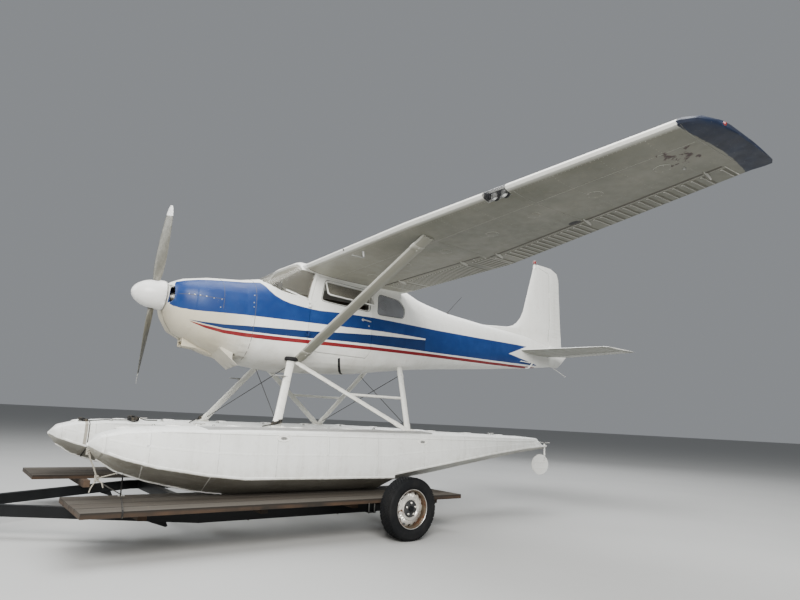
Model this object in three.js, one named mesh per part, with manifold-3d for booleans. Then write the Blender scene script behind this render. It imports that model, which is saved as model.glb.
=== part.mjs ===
// A four-seat high-wing floatplane standing on its own flat launching trailer.
// Millimetres, +X towards the nose, +Y to port, +Z up, z = 0 on the ground.
// Stations along X are counted from the firewall and the whole model is then
// moved by SHIFT_X, so that the origin is under the middle of its length.
import * as THREE from 'three';
import { mergeVertices } from 'three/addons/utils/BufferGeometryUtils.js';
import Module from 'manifold-3d';

const wasm = await Module();
wasm.setup();

// Driving dimensions
const SHIFT_X = 2100;
const GAP = 0.3;            // touching pieces keep this much
const CLEAR = 6;            // moving surfaces keep this much
const THRUST_Z = 2505;      // height of the propeller axis
const SKIN = 40;            // cabin wall, door and roof thickness
const COWL_SKIN = 20;
const CABIN_FLOOR_Z = 1960;
const SILL_Z = 2010;        // top of the belly under the doors
const DOOR_GAP = 6;
const WINDOW_OPEN = 35;         // degrees, the port door's window
const WINDOW_HINGE_Y = 530;
const LAMP_BAY = { inner: 3572, outer: 3828, deep: 92 };   // in the port wing's leading edge
const PROP_RADIUS = 1055;
const PROP_LEAN = 13;           // degrees from upright, at rest
const PROP_X = 918;             // plane of the blades
const SPINNER_REAR = 815;
const NOSE_X = 805;             // front face of the cowling
const WING_ROOT_Y = 565;
const FLOAT_Y = 1140;       // keel of a float from the centre line
const DECK_TOP = 410;       // top of the trailer's boards
const BOARD = { wide: 232, gap: 6, thick: 45, count: 4, inner: 920, rear: -2280, front: 1700 };
const TYRE = { radius: 317.5, wide: 185, y: 2000, x: -1380, rim: 200 };
const RAIL = { top: 290, low: 190, y: 1300, wide: 80 };
const JOCKEY = { x: 2420, y: 244, radius: 80, wide: 50, trail: 32, tubeLow: 195 };
const AROUND = 28;          // corners of one fuselage section

// Fuselage sections: x, top z, lowest z, half width, height of the widest place,
// roundness above and below it (2 is an ellipse, more is boxier)
const HULL = [
  [NOSE_X, 2640, 2330, 290, 2505, 2.3, 2.2],
  [760, 2672, 2210, 375, 2490, 2.4, 2.2],
  [670, 2716, 2085, 452, 2470, 2.5, 2.3],
  [400, 2778, 1955, 505, 2450, 2.6, 2.4],
  [0, 2828, 1815, 535, 2420, 2.6, 2.6],
  [-235, 2872, 1790, 546, 2420, 3.3, 2.8],
  [-740, 3187, 1752, 552, 2420, 5.0, 3.4],
  [-1800, 3195, 1817, 552, 2420, 5.0, 4.0],
  [-2340, 3185, 1900, 505, 2420, 4.4, 4.8],
  [-2835, 3052, 1972, 450, 2430, 3.2, 4.2],
  [-3060, 3016, 2000, 420, 2440, 3.0, 3.8],
  [-3550, 2952, 2052, 360, 2460, 2.8, 3.2],
  [-4480, 2900, 2138, 250, 2500, 2.6, 2.4],
  [-5590, 2850, 2251, 130, 2560, 2.4, 2.2],
  [-6318, 2735, 2342, 52, 2560, 2.2, 2.2],
];

// Wing sections: y, leading edge x and z, chord, incidence in degrees, thickness ratio
const WING = [
  [565, -713, 3085, 1626, 2.6, 0.12],
  [2540, -714, 3150, 1626, 2.6, 0.12],
  [5283, -837, 3238, 1130, -0.6, 0.11],
  [5370, -905, 3246, 1075, -0.6, 0.105],
  [5428, -1040, 3250, 930, -0.6, 0.085],
  [5458, -1290, 3244, 600, -0.6, 0.05],
];

// Tailplane sections: y, leading edge x, trailing edge x, half thickness
const TAILPLANE = [
  [-1657, -5740, -6540, 9],
  [-1600, -5665, -6568, 20],
  [0, -5330, -6720, 42],
  [1600, -5665, -6568, 20],
  [1657, -5740, -6540, 9],
];
const TAILPLANE_Z = 2555;
const ELEVATOR_X = -6200;

// Fin and rudder sections: z, leading edge x, trailing edge x, half thickness
const FIN = [
  [2700, -4250, -6736, 42],
  [2905, -4420, -6722, 36],
  [2965, -5160, -6718, 40],
  [3010, -5310, -6712, 44],
  [3080, -5420, -6706, 44],
  [3180, -5515, -6700, 44],
  [3310, -5590, -6694, 43],
  [4100, -5850, -6656, 32],
  [4225, -5890, -6600, 26],
  [4292, -5960, -6420, 14],
];
// Foot of the rudder behind the tail cone: z, leading edge x, trailing edge x, half thickness
const RUDDER_FOOT = [
  [2350, -6336, -6600, 12],
  [2425, -6336, -6710, 24],
  [2600, -6336, -6900, 34],
  [2760, -6336, -6734, 40],
];
const RUDDER_X = -6355;

// Float sections: x at the keel, keel z, chine z, half width, deck edge z, crown, rake of the end
const FLOAT = [
  [1588, 850, 868, 14, 885, 4, 0],
  [1510, 758, 822, 150, 955, 20, 0],
  [1330, 645, 757, 262, 1000, 28, 0],
  [1060, 556, 690, 332, 1022, 32, 0],
  [600, 452, 618, 372, 1034, 34, 0],
  [250, DECK_TOP + GAP, 582, 380, 1040, 34, 0],
  [-1565, DECK_TOP + GAP, 565, 380, 1056, 34, 0],
  [-1566, 478, 600, 379, 1056, 34, 0],
  [-2350, 572, 705, 355, 1070, 30, 0],
  [-3300, 716, 820, 262, 1064, 24, 0],
  [-4120, 838, 901, 160, 1058, 16, 0],
  [-4712, 905, 930, 40, 1048, 6, 200],
];

// Float struts: name, top, bottom (both x, y, z), width along the flight, depth
const FLOAT_STRUTS = [
  ['front', [-690, 430, 1900], [-219, 1122, 1075], 96, 44],
  ['rear', [-2413, 423, 1925], [-2050, 1111, 1090], 84, 40],
  ['diagonal', [-742, 436, 1868], [-1976, 1096, 1128], 70, 34],
];
const WING_STRUT = { foot: [-782, 474, 1916], top: [-989, 2540, 3044], wide: 158, deep: 60 };
const SPREADERS = [['front', -219], ['rear', -2050]];
const SPREADER_Z = 985;
const WATER_RUDDER_X = -4748;   // steering axis behind the stern

const paint = (color, roughness = 0.45, metalness = 0) =>
  new THREE.MeshStandardMaterial({ color, roughness, metalness });
const WHITE = paint(0xdedfd9);
const BLUE = paint(0x2a4f9e);
const GLASS = paint(0x9fb0b5, 0.1);
const DARK = paint(0x1b1c1e, 0.7);
const STEEL = paint(0x8d8a84, 0.4, 0.8);
const BLACK_STEEL = paint(0x17181b, 0.6, 0.3);
const RUBBER = paint(0x151516, 0.85);
const TIMBER = paint(0x7a6a5a, 0.9);
const FABRIC = paint(0x5c5448, 0.9);
const GREY = paint(0x8f8d83, 0.5, 0.3);

// Closed shapes

function solid(geometry) {
  const bare = geometry.clone();
  bare.deleteAttribute('normal');
  bare.deleteAttribute('uv');
  const merged = mergeVertices(bare, 1e-3);
  const index = merged.index.array;
  const at = (i) => new THREE.Vector3().fromBufferAttribute(merged.attributes.position, i);
  const triVerts = [];
  let volume = 0;
  for (let i = 0; i < index.length; i += 3) {
    const [a, b, c] = [index[i], index[i + 1], index[i + 2]];
    if (a === b || b === c || c === a) continue;
    triVerts.push(a, b, c);
    volume += at(a).dot(at(b).cross(at(c)));
  }
  if (volume < 0) triVerts.reverse();
  const vertProperties = new Float32Array(merged.attributes.position.array);
  return new wasm.Manifold(new wasm.Mesh({
    numProp: 3, vertProperties, triVerts: new Uint32Array(triVerts),
  }));
}

function meshGeometry(made) {
  const mesh = made.getMesh();
  const geometry = new THREE.BufferGeometry();
  geometry.setAttribute('position', new THREE.BufferAttribute(mesh.vertProperties, 3));
  geometry.setIndex(new THREE.BufferAttribute(mesh.triVerts, 1));
  geometry.computeVertexNormals();
  return geometry;
}

const model = new THREE.Group();
model.position.x = SHIFT_X;

function add(name, material, made) {
  const mesh = new THREE.Mesh(meshGeometry(made), material);
  mesh.name = name;
  model.add(mesh);
  return made;
}

function join(list) {
  return list.reduce((sum, one) => sum.add(one));
}

function box(x0, x1, y0, y1, z0, z1) {
  const geometry = new THREE.BoxGeometry(x1 - x0, y1 - y0, z1 - z0);
  geometry.translate((x0 + x1) / 2, (y0 + y1) / 2, (z0 + z1) / 2);
  return solid(geometry);
}

// Triangles of a flat ring of points, seen along the axis it faces most
function capOf(ring) {
  const normal = new THREE.Vector3();
  ring.forEach((p, i) => {
    const q = ring[(i + 1) % ring.length];
    normal.x += (p[1] - q[1]) * (p[2] + q[2]);
    normal.y += (p[2] - q[2]) * (p[0] + q[0]);
    normal.z += (p[0] - q[0]) * (p[1] + q[1]);
  });
  const size = normal.toArray().map(Math.abs);
  const drop = size.indexOf(Math.max(...size));
  const [u, v] = [0, 1, 2].filter((axis) => axis !== drop);
  const flat = ring.map((p) => new THREE.Vector2(p[u], p[v]));
  const ringTurn = Math.sign(THREE.ShapeUtils.area(flat));
  return THREE.ShapeUtils.triangulateShape(flat.slice(), []).map(([a, b, c]) => {
    const turn = Math.sign(THREE.ShapeUtils.area([flat[a], flat[b], flat[c]]));
    return turn === ringTurn ? [a, b, c] : [a, c, b];
  });
}

// A solid through rings of points that all have the same number of corners
function loft(rings) {
  const count = rings[0].length;
  const index = [];
  for (let i = 0; i < rings.length - 1; i += 1) {
    for (let k = 0; k < count; k += 1) {
      const a = i * count + k;
      const b = i * count + (k + 1) % count;
      index.push(a, b, b + count, a, b + count, a + count);
    }
  }
  const last = (rings.length - 1) * count;
  for (const [a, b, c] of capOf(rings[0])) index.push(a, c, b);
  for (const [a, b, c] of capOf(rings[rings.length - 1])) index.push(last + a, last + b, last + c);
  const geometry = new THREE.BufferGeometry();
  geometry.setAttribute('position', new THREE.Float32BufferAttribute(rings.flat(2), 3));
  geometry.setIndex(index);
  return solid(geometry);
}

// A side view outline of [x, z] corners, each cut by a round of the given radius
function rounded(corners, radius, steps = 3) {
  if (radius === 0) return corners;
  const outline = [];
  corners.forEach((corner, i) => {
    const here = new THREE.Vector2(...corner);
    const before = new THREE.Vector2(...corners[(i + corners.length - 1) % corners.length]);
    const after = new THREE.Vector2(...corners[(i + 1) % corners.length]);
    const reach = Math.min(radius, here.distanceTo(before) / 2.1, here.distanceTo(after) / 2.1);
    const start = here.clone().add(before.sub(here).setLength(reach));
    const end = here.clone().add(after.sub(here).setLength(reach));
    const bend = new THREE.QuadraticBezierCurve(start, here, end);
    for (const point of bend.getPoints(steps)) outline.push([point.x, point.y]);
  });
  return outline;
}

function sidePrism(corners, y0, y1, radius = 0) {
  const outline = rounded(corners, radius);
  return loft([y0, y1].map((y) => outline.map(([x, z]) => [x, y, z])));
}

function planPrism(corners, z0, z1) {
  return loft([z0, z1].map((z) => corners.map(([x, y]) => [x, y, z])));
}

// A bar of oval section between two points, its width kept in the line of flight
function strut(from, to, wide, deep, sides = 12) {
  const [a, b] = [new THREE.Vector3(...from), new THREE.Vector3(...to)];
  const along = b.clone().sub(a).normalize();
  const wideWay = new THREE.Vector3(1, 0, 0).addScaledVector(along, -along.x).normalize();
  const deepWay = along.clone().cross(wideWay);
  return loft([a, b].map((end) => Array.from({ length: sides }, (_, k) => {
    const turn = (2 * Math.PI * k) / sides;
    return end.clone()
      .addScaledVector(wideWay, Math.cos(turn) * wide / 2)
      .addScaledVector(deepWay, Math.sin(turn) * deep / 2)
      .toArray();
  })));
}

function round(from, to, radius, sides = 12) {
  const [a, b] = [new THREE.Vector3(...from), new THREE.Vector3(...to)];
  const along = b.clone().sub(a).normalize();
  const other = Math.abs(along.z) > 0.9 ? new THREE.Vector3(1, 0, 0) : new THREE.Vector3(0, 0, 1);
  const u = other.cross(along).normalize();
  const v = along.clone().cross(u);
  const radii = Array.isArray(radius) ? radius : [radius, radius];
  return loft([a, b].map((end, i) => Array.from({ length: sides }, (_, k) => {
    const turn = (2 * Math.PI * k) / sides;
    return end.clone()
      .addScaledVector(u, Math.cos(turn) * radii[i])
      .addScaledVector(v, Math.sin(turn) * radii[i])
      .toArray();
  })));
}

// Whatever touches another piece is cut by it and by the same piece moved by the gap
function cutBy(made, other) {
  const moves = [[GAP, 0, 0], [-GAP, 0, 0], [0, GAP, 0], [0, -GAP, 0], [0, 0, GAP], [0, 0, -GAP]];
  return moves.reduce((left, move) => left.subtract(other.translate(move)), made);
}

// The same outline with each edge moved outwards by a distance
function grown(corners, distance) {
  const points = corners.map(([x, z]) => new THREE.Vector2(x, z));
  const turn = Math.sign(THREE.ShapeUtils.area(points));
  const outwards = points.map((point, i) => {
    const edge = points[(i + 1) % points.length].clone().sub(point).normalize();
    return new THREE.Vector2(edge.y * turn, -edge.x * turn);
  });
  return points.map((point, i) => {
    const [a, b] = [outwards[(i + points.length - 1) % points.length], outwards[i]];
    const share = distance / (1 + a.dot(b));
    return [point.x + (a.x + b.x) * share, point.y + (a.y + b.y) * share];
  });
}

function mirror(made) {
  return made.mirror([0, 1, 0]);
}

// Adds the port piece and its starboard twin
function addPair(name, material, made) {
  add(`left_${name}`, material, made);
  add(`right_${name}`, material, mirror(made));
  return made;
}

// Fuselage

function hullRing([x, top, low, half, wideZ, up, down], inset) {
  return Array.from({ length: AROUND }, (_, k) => {
    const turn = (2 * Math.PI * (k + 0.5)) / AROUND;
    const [c, s] = [Math.cos(turn), Math.sin(turn)];
    const power = 2 / (s > 0 ? up : down);
    const height = s > 0 ? top - inset - wideZ : wideZ - low - inset;
    const y = (half - inset) * Math.sign(c) * Math.abs(c) ** power;
    return [x, y, wideZ + height * Math.sign(s) * Math.abs(s) ** power];
  });
}

function hull(inset) {
  return loft(HULL.map((section) => hullRing(section, inset)));
}

function span(x0, x1) {
  return box(x0, x1, -800, 800, 1500, 3600);
}

const outside = hull(0);
const outsideGrown = hull(-GAP).add(mirror(hull(-GAP)));
const inside = hull(SKIN);

const DOOR = [
  [-1000, SILL_Z + 4], [-900, SILL_Z + 30], [-828, 2110], [-838, 2680], [-915, 2998],
  [-1797, 2960], [-1797, 2100], [-1740, SILL_Z + 4],
];
const WINDSHIELD = [
  [-225, 2806], [-314, 2749], [-406, 2710], [-542, 2687], [-795, 2671], [-830, 2853], [-886, 3022],
  [-700, 3040], [-700, 3400], [-160, 3400], [-235, 2960],
];
const ROOF_EDGE = [
  [-700 - GAP, 3500], [-700 - GAP, 3040 + 2 * GAP], [-886 - GAP, 3022 + 2 * GAP], [-918, 3003],
  [-1797, 2965], [-2340, 2942], [-2340, 3500],
];
const DOOR_WINDOW = [[-985, 2682], [-1745, 2650], [-1745, 2925], [-1035, 2953]];
const REAR_WINDOW = [[-1880, 2628], [-2385, 2648], [-2400, 2800], [-2290, 2896], [-1890, 2918]];
const doorWay = sidePrism(grown(DOOR, DOOR_GAP), -700, 700);

function wingRing([y, x, z, chord, degrees, thick], wingY = y) {
  const angle = THREE.MathUtils.degToRad(degrees);
  const stations = [0, 0.012, 0.05, 0.12, 0.25, 0.4, 0.55, 0.7, 0.85, 1];
  const surface = (u, side) => {
    const body = 5 * thick * (0.2969 * Math.sqrt(u) - 0.126 * u - 0.3516 * u ** 2
      + 0.2843 * u ** 3 - 0.1 * u ** 4);
    const bow = u < 0.4 ? 0.125 * (0.8 * u - u * u) : 0.0556 * (0.2 + 0.8 * u - u * u);
    const w = bow + side * Math.max(body, 0.0015);
    return [
      x - chord * (u * Math.cos(angle) + w * Math.sin(angle)),
      wingY,
      z - chord * (u * Math.sin(angle) - w * Math.cos(angle)),
    ];
  };
  const upper = stations.slice(1).map((u) => surface(u, 1));
  const lower = stations.slice(1).reverse().map((u) => surface(u, -1));
  return [surface(0, 1), ...upper, ...lower];
}

const wingWhole = loft(WING.map((section) => wingRing(section)));
const centreSection = loft([
  wingRing(WING[0], WING_ROOT_Y - GAP), wingRing(WING[0], -WING_ROOT_Y + GAP),
]);

// Side view of the nose intakes, which open to the front and to the side
const INTAKE = [
  [777, 2425], [777, 2570], [792, 2606], [960, 2606], [960, 2398], [792, 2398],
];

// The open cowl flap: its hinge line and rear edge along X, and its sides along Y
const COWL_FLAP = { hinge: 200, edge: -20, inner: 36, outer: 326 };

// Chin scoop sections: x, half width, lowest z, top z
const SCOOP = [[562, 84, 1934, 2060], [400, 96, 1924, 2010], [230, 96, 1870, 1950], [130, 80, 1850, 1920]];

function scoopRing([x, half, low, top]) {
  return [[x, -half, top], [x, half, top], [x, half * 0.9, low + 12], [x, half * 0.6, low],
    [x, -half * 0.6, low], [x, -half * 0.9, low + 12]];
}

function buildCowling() {
  const ahead = span(GAP, NOSE_X + 100);
  const bay = hull(COWL_SKIN).intersect(box(-100, NOSE_X - 22, -800, 800, 1500, 3600));
  const scoop = loft(SCOOP.map(scoopRing));
  const scoopMouth = box(430, 570, -68, 68, 1946, 1996);
  const intake = sidePrism(INTAKE, 150, 480);
  const shaftHole = round([700, 0, THRUST_Z], [900, 0, THRUST_Z], 70, 16);
  const flapHole = box(-60, COWL_FLAP.hinge, COWL_FLAP.inner - 2, COWL_FLAP.outer + 2, 1500, 2050);
  const holes = join([bay, scoopMouth, intake, mirror(intake), shaftHole, flapHole]);
  add('engine_cowling', BLUE, outside.add(scoop).intersect(ahead).subtract(holes));
}

function buildCowlFlap() {
  const { hinge, edge, inner, outer } = COWL_FLAP;
  const end = (x, wider, innerZ, outerZ, thick) => [
    [x, inner, innerZ], [x, outer + wider, outerZ], [x, outer + wider, outerZ + thick],
    [x, inner, innerZ + thick],
  ];
  add('left_cowl_flap', WHITE, loft([
    end(hinge - GAP, 0, 1881, 1946, 14), end(edge, 44, 1717, 1758, 6),
  ]));
}

function buildEngine() {
  const block = box(90, 680, -330, 330, 2230, 2600);
  const mountFeet = [[-200, 2230], [200, 2230], [-200, 2560], [200, 2560]]
    .map(([y, z]) => round([GAP, y, z], [100, y, z], 22, 8));
  const crank = round([670, 0, THRUST_Z], [SPINNER_REAR - GAP, 0, THRUST_Z], 45, 16);
  add('engine', DARK, join([block, crank, ...mountFeet]));
}

// Everything between the firewall and the tail cone, split where the panels meet
function buildCabin() {
  const shell = outside.subtract(inside.intersect(box(-2790, -60, -800, 800, CABIN_FLOOR_Z, 3600)));
  const windshieldHole = sidePrism(WINDSHIELD, -700, 700).add(
    box(-886, -160, -700, 700, 3022 + GAP, 3500));
  const roofRegion = sidePrism(ROOF_EDGE, -700, 700);
  const underRoof = roofRegion.add(roofRegion.translate([0, 0, -GAP]));
  const frontRegion = span(-820 + GAP, 0).add(box(-922, 0, -800, 800, 2100 + GAP, 3600));
  const front = shell.intersect(frontRegion)
    .subtract(windshieldHole).subtract(doorWay).subtract(underRoof);
  add('forward_fuselage', WHITE, withKnuckles(front));

  const carry = centreSection.intersect(roofRegion);
  const roof = shell.intersect(roofRegion).add(carry).subtract(inside)
    .subtract(doorWay).intersect(span(-2340, -600));
  add('cabin_roof', WHITE, roof);

  const belly = shell.intersect(box(-1800 + GAP, -820, -800, 800, 1500, 2100)).subtract(doorWay);
  add('cabin_belly', WHITE, belly);

  const rearHole = sidePrism(REAR_WINDOW, -700, 700, 60);
  const rear = shell.intersect(span(-2835, -1800)).subtract(underRoof)
    .subtract(rearHole).subtract(doorWay);
  add('rear_cabin', WHITE, rear);
  return shell;
}

function buildGlass() {
  const glass = hull(10).subtract(hull(18));
  add('windshield', GLASS, glass.intersect(sidePrism(grown(WINDSHIELD, -GAP), -700, 700)));
  const rearPane = glass.intersect(sidePrism(grown(REAR_WINDOW, -GAP), 0, 700, 60));
  addPair('rear_window', GLASS, rearPane);
  return glass;
}

// Door hinges: the axis lies just outside the skin at the front edge of the door
const DOOR_HINGE = {
  x: -828, y: 566, heights: [2230, 2600], radius: 9, leaf: 34, middle: 12, half: 38,
};

function knuckle(z, z0, z1, side) {
  const { x, y, radius, leaf } = DOOR_HINGE;
  const barrel = round([x, y, z + z0], [x, y, z + z1], radius, 12);
  const [x0, x1] = side > 0 ? [x, x + leaf] : [x - leaf, x];
  return barrel.add(box(x0, x1, 530, y + 1, z + z0, z + z1));
}

function withKnuckles(front) {
  const { x, y, heights, middle, half } = DOOR_HINGE;
  let made = front;
  for (const z of heights) {
    const notch = box(x - 20, x + 12, 500, y + 20, z - middle - 0.5, z + middle + 0.5);
    const pair = knuckle(z, middle + 0.5, half, 1).add(knuckle(z, -half, -middle - 0.5, 1));
    made = made.subtract(notch).subtract(mirror(notch)).add(pair).add(mirror(pair));
  }
  return made;
}

// The port window stands open about its upper edge, which slopes down towards the tail
function openPane(pane) {
  const [[rearX, rearZ], [frontX, frontZ]] = DOOR_WINDOW.slice(2);
  const slope = THREE.MathUtils.radToDeg(Math.atan2(frontZ - rearZ, frontX - rearX));
  return pane.translate([-rearX, -WINDOW_HINGE_Y, -rearZ]).rotate([0, slope, 0])
    .rotate([WINDOW_OPEN, 0, 0]).rotate([0, -slope, 0]).translate([rearX, WINDOW_HINGE_Y, rearZ]);
}

function buildDoors(shell, glass) {
  const panel = sidePrism(DOOR, 0, 700);
  const { x, y, heights, middle, half } = DOOR_HINGE;
  let door = shell.intersect(panel).subtract(sidePrism(DOOR_WINDOW, 0, 700, 50));
  for (const z of heights) {
    const notch = box(x - 15, x + 60, 480, y + 20, z - half - 5, z + half + 5);
    door = door.subtract(notch).add(knuckle(z, -middle, middle, -1));
  }
  addPair('door', WHITE, door);
  const pane = glass.intersect(sidePrism(grown(DOOR_WINDOW, -GAP), 0, 700, 50));
  add('right_door_window', GLASS, mirror(pane));
  add('left_door_window', GLASS, cutBy(openPane(pane), door));
}

// Seats, each a base, a cushion and a leaning back in one piece
function seat(y0, y1, front, rear, top) {
  const outline = [
    [front, 2180], [front, 2300], [rear + 60, 2280], [rear - 60, top], [rear - 150, top],
    [rear - 60, 2180],
  ];
  const base = box(rear + 20, front - 60, y0 + 30, y1 - 60, CABIN_FLOOR_Z + GAP, 2200);
  return sidePrism(outline, y0, y1).add(base);
}

function buildCabinFittings() {
  const panel = hull(SKIN + GAP).intersect(box(-450, -400, -800, 800, 2400, 2835));
  add('instrument_panel', DARK, panel);
  const frontSeat = seat(40, 460, -1020, -1480, 2800);
  add('left_front_seat', FABRIC, frontSeat);
  add('right_front_seat', FABRIC, mirror(frontSeat));
  add('rear_seat', FABRIC, seat(-440, 440, -1960, -2330, 2740).intersect(hull(SKIN + 20)));
}

// Hinged surfaces

// Cuts a moving surface from a whole one along the hinge line from a to b. The surface's
// front edge has the given radii at its ends, behind and bounds give the region that moves
// for a growth, and each lug is a fraction of the hinge line.
function hinged(whole, a, b, radii, behind, lugs, bounds) {
  const [start, end] = [new THREE.Vector3(...a), new THREE.Vector3(...b)];
  const axis = end.clone().sub(start).normalize();
  const out = (point, distance) => point.clone().addScaledVector(axis, distance).toArray();
  const nose = round(a, b, radii, 16);
  const cove = round(out(start, -CLEAR), out(end, CLEAR), radii.map((r) => r + CLEAR), 16);
  let moving = whole.intersect(behind(0).add(nose)).intersect(bounds(0));
  let fixed = whole.subtract(behind(CLEAR).add(cove).intersect(bounds(CLEAR)));
  for (const share of lugs) {
    const at = start.clone().lerp(end, share);
    const radius = radii[0] + (radii[1] - radii[0]) * share;
    const grip = Math.min(radius * 0.55, 14);
    const arm = lug(at, axis, grip, grip, radius + CLEAR + 25, 6);
    moving = moving.subtract(lug(at, axis, grip + 5, radius + 12, radius + CLEAR + 40, 6.5));
    moving = moving.add(round(out(at, -7), out(at, 7), grip * 0.4, 8));
    fixed = fixed.add(arm.subtract(round(out(at, -9), out(at, 9), grip * 0.4 + 0.5, 12)));
  }
  return { moving, fixed };
}

// A flat arm with a round end on the hinge line, reaching forward
function lug(at, axis, radius, armHalf, reach, half) {
  const out = (distance) => at.clone().addScaledVector(axis, distance).toArray();
  const eye = round(out(-half), out(half), radius, 16);
  const forward = new THREE.Vector3(1, 0, 0).addScaledVector(axis, -axis.x).normalize();
  const across = axis.clone().cross(forward);
  const ring = (distance) => [[0, 1], [reach, 1], [reach, -1], [0, -1]].map(([f, s]) =>
    at.clone().addScaledVector(axis, distance).addScaledVector(forward, f)
      .addScaledVector(across, s * armHalf).toArray());
  return eye.add(loft([ring(-half), ring(half)]));
}

function wingAt(y) {
  const rows = WING;
  const i = Math.max(0, rows.findIndex((row) => row[0] >= y) - 1);
  const share = (y - rows[i][0]) / (rows[i + 1][0] - rows[i][0]);
  return rows[i].map((value, k) => value + (rows[i + 1][k] - value) * share);
}

function wingPoint(y, share) {
  const ring = wingRing(wingAt(y));
  const stations = ring.length / 2;
  const place = (list) => {
    const i = list.findIndex((p) => p[0] <= list[0][0] - share * (list[0][0] - list[list.length - 1][0]));
    const [p, q] = [list[i - 1], list[i]];
    const x = list[0][0] - share * (list[0][0] - list[list.length - 1][0]);
    const t = (p[0] - x) / (p[0] - q[0]);
    return [x, y, p[2] + (q[2] - p[2]) * t];
  };
  const upper = place(ring.slice(0, Math.ceil(stations)));
  const lower = place([ring[0], ...ring.slice(Math.ceil(stations)).reverse()]);
  return { at: [upper[0], y, (upper[2] + lower[2]) / 2], radius: (upper[2] - lower[2]) / 2 };
}

function cutWingSurface(whole, y0, y1, share, lugs) {
  const [inner, outer] = [wingPoint(y0, share), wingPoint(y1, share)];
  const behind = (grow) => planPrism([
    [inner.at[0], y0 - grow - 1], [-2600, y0 - grow - 1],
    [-2600, y1 + grow + 1], [outer.at[0], y1 + grow + 1],
  ], 2800, 3500);
  const bounds = (grow) => box(-2700, -500, y0 - grow, y1 + grow, 2800, 3500);
  const cut = hinged(whole, inner.at, outer.at, [inner.radius, outer.radius], behind, lugs, bounds);
  return { ...cut, from: inner.at, to: outer.at };
}

function buildWings() {
  const wing = wingWhole;
  const flap = cutWingSurface(wing, 740, 2528, 0.72, [0.08, 0.92]);
  const aileron = cutWingSurface(flap.fixed, 2552, 5190, 0.78, [0.06, 0.5, 0.94]);
  addPair('flap', WHITE, flap.moving);
  addPair('aileron', WHITE, aileron.moving);
  const wingStrut = strut(
    stretched(WING_STRUT.top, WING_STRUT.foot, 80), stretched(WING_STRUT.foot, WING_STRUT.top, 70),
    WING_STRUT.wide, WING_STRUT.deep);
  const fixedWing = aileron.fixed;
  const lampBay = planPrism([
    [wingAt(LAMP_BAY.inner)[1] - LAMP_BAY.deep, LAMP_BAY.inner], [-500, LAMP_BAY.inner],
    [-500, LAMP_BAY.outer], [wingAt(LAMP_BAY.outer)[1] - LAMP_BAY.deep, LAMP_BAY.outer],
  ], 2900, 3500);
  add('left_wing', WHITE, fixedWing.subtract(lampBay));
  add('right_wing', WHITE, mirror(fixedWing));
  const made = cutBy(wingStrut.subtract(outsideGrown), wing);
  addPair('wing_strut', WHITE, made);
  return { wingStrut };
}

// Tail

const TAIL_STATIONS = [[0, 0.02], [0.04, 0.45], [0.15, 0.85], [0.4, 1], [0.6, 0.86], [0.8, 0.5], [1, 0.06]];

function tailRing(front, rear, half, point) {
  const upper = TAIL_STATIONS.map(([u, w]) => point(front + (rear - front) * u, half * w));
  const lower = TAIL_STATIONS.map(([u, w]) => point(front + (rear - front) * u, -half * w)).reverse();
  return [...upper, ...lower];
}

const TAIL_CUT_X = ELEVATOR_X + 38;   // the stabiliser and cone end here beside the rudder

// One half of the tailplane, cut into the elevator and the fixed surface
function cutTailplane(plane) {
  const halfAt = (y) => 42 * (1 - 0.52 * Math.min(1, Math.abs(y) / 1600)) * 0.80;
  const hingeEnds = [[ELEVATOR_X, 72, TAILPLANE_Z], [ELEVATOR_X, 1590, TAILPLANE_Z]];
  const behind = (grow) => planPrism([
    [ELEVATOR_X, 20 - grow], [-6900, 20 - grow], [-6900, 1800], [ELEVATOR_X + grow * 2.5, 1800],
    [ELEVATOR_X + grow * 2.5, 1590], [ELEVATOR_X, 1590],
  ], 2300, 2800);
  const inboard = (grow) => planPrism([
    [-6000, 72 - grow], [-6260, 72 - grow], [-6760, 290 - grow], [-6900, 290 - grow],
    [-6900, 1800], [-6000, 1800],
  ], 2300, 2800);
  const half = plane.intersect(box(-7000, -5000, 0, 1800, 2300, 2800));
  const radii = hingeEnds.map(([, y]) => halfAt(y));
  return hinged(half, ...hingeEnds, radii, behind, [0.3, 0.9], inboard);
}

function buildTailplane() {
  const plane = loft(TAILPLANE.map(([y, front, rear, half]) =>
    tailRing(front, rear, half, (x, w) => [x, y, TAILPLANE_Z + w])));
  const cut = cutTailplane(plane);
  const fixedHalf = cut.fixed
    .subtract(box(-7000, ELEVATOR_X - 40, -400, 400, 2300, 2800))
    .subtract(box(-6900, TAIL_CUT_X, -90, 90, 2300, 2800));
  add('stabiliser', WHITE, fixedHalf.add(mirror(fixedHalf)));
  const tube = round([ELEVATOR_X, -90, TAILPLANE_Z], [ELEVATOR_X, 90, TAILPLANE_Z], 20, 16);
  add('elevator', WHITE, join([cut.moving, mirror(cut.moving), tube]));
  return plane;
}

const RUDDER_TOP = 4170;        // upper end of the hinge line

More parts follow.
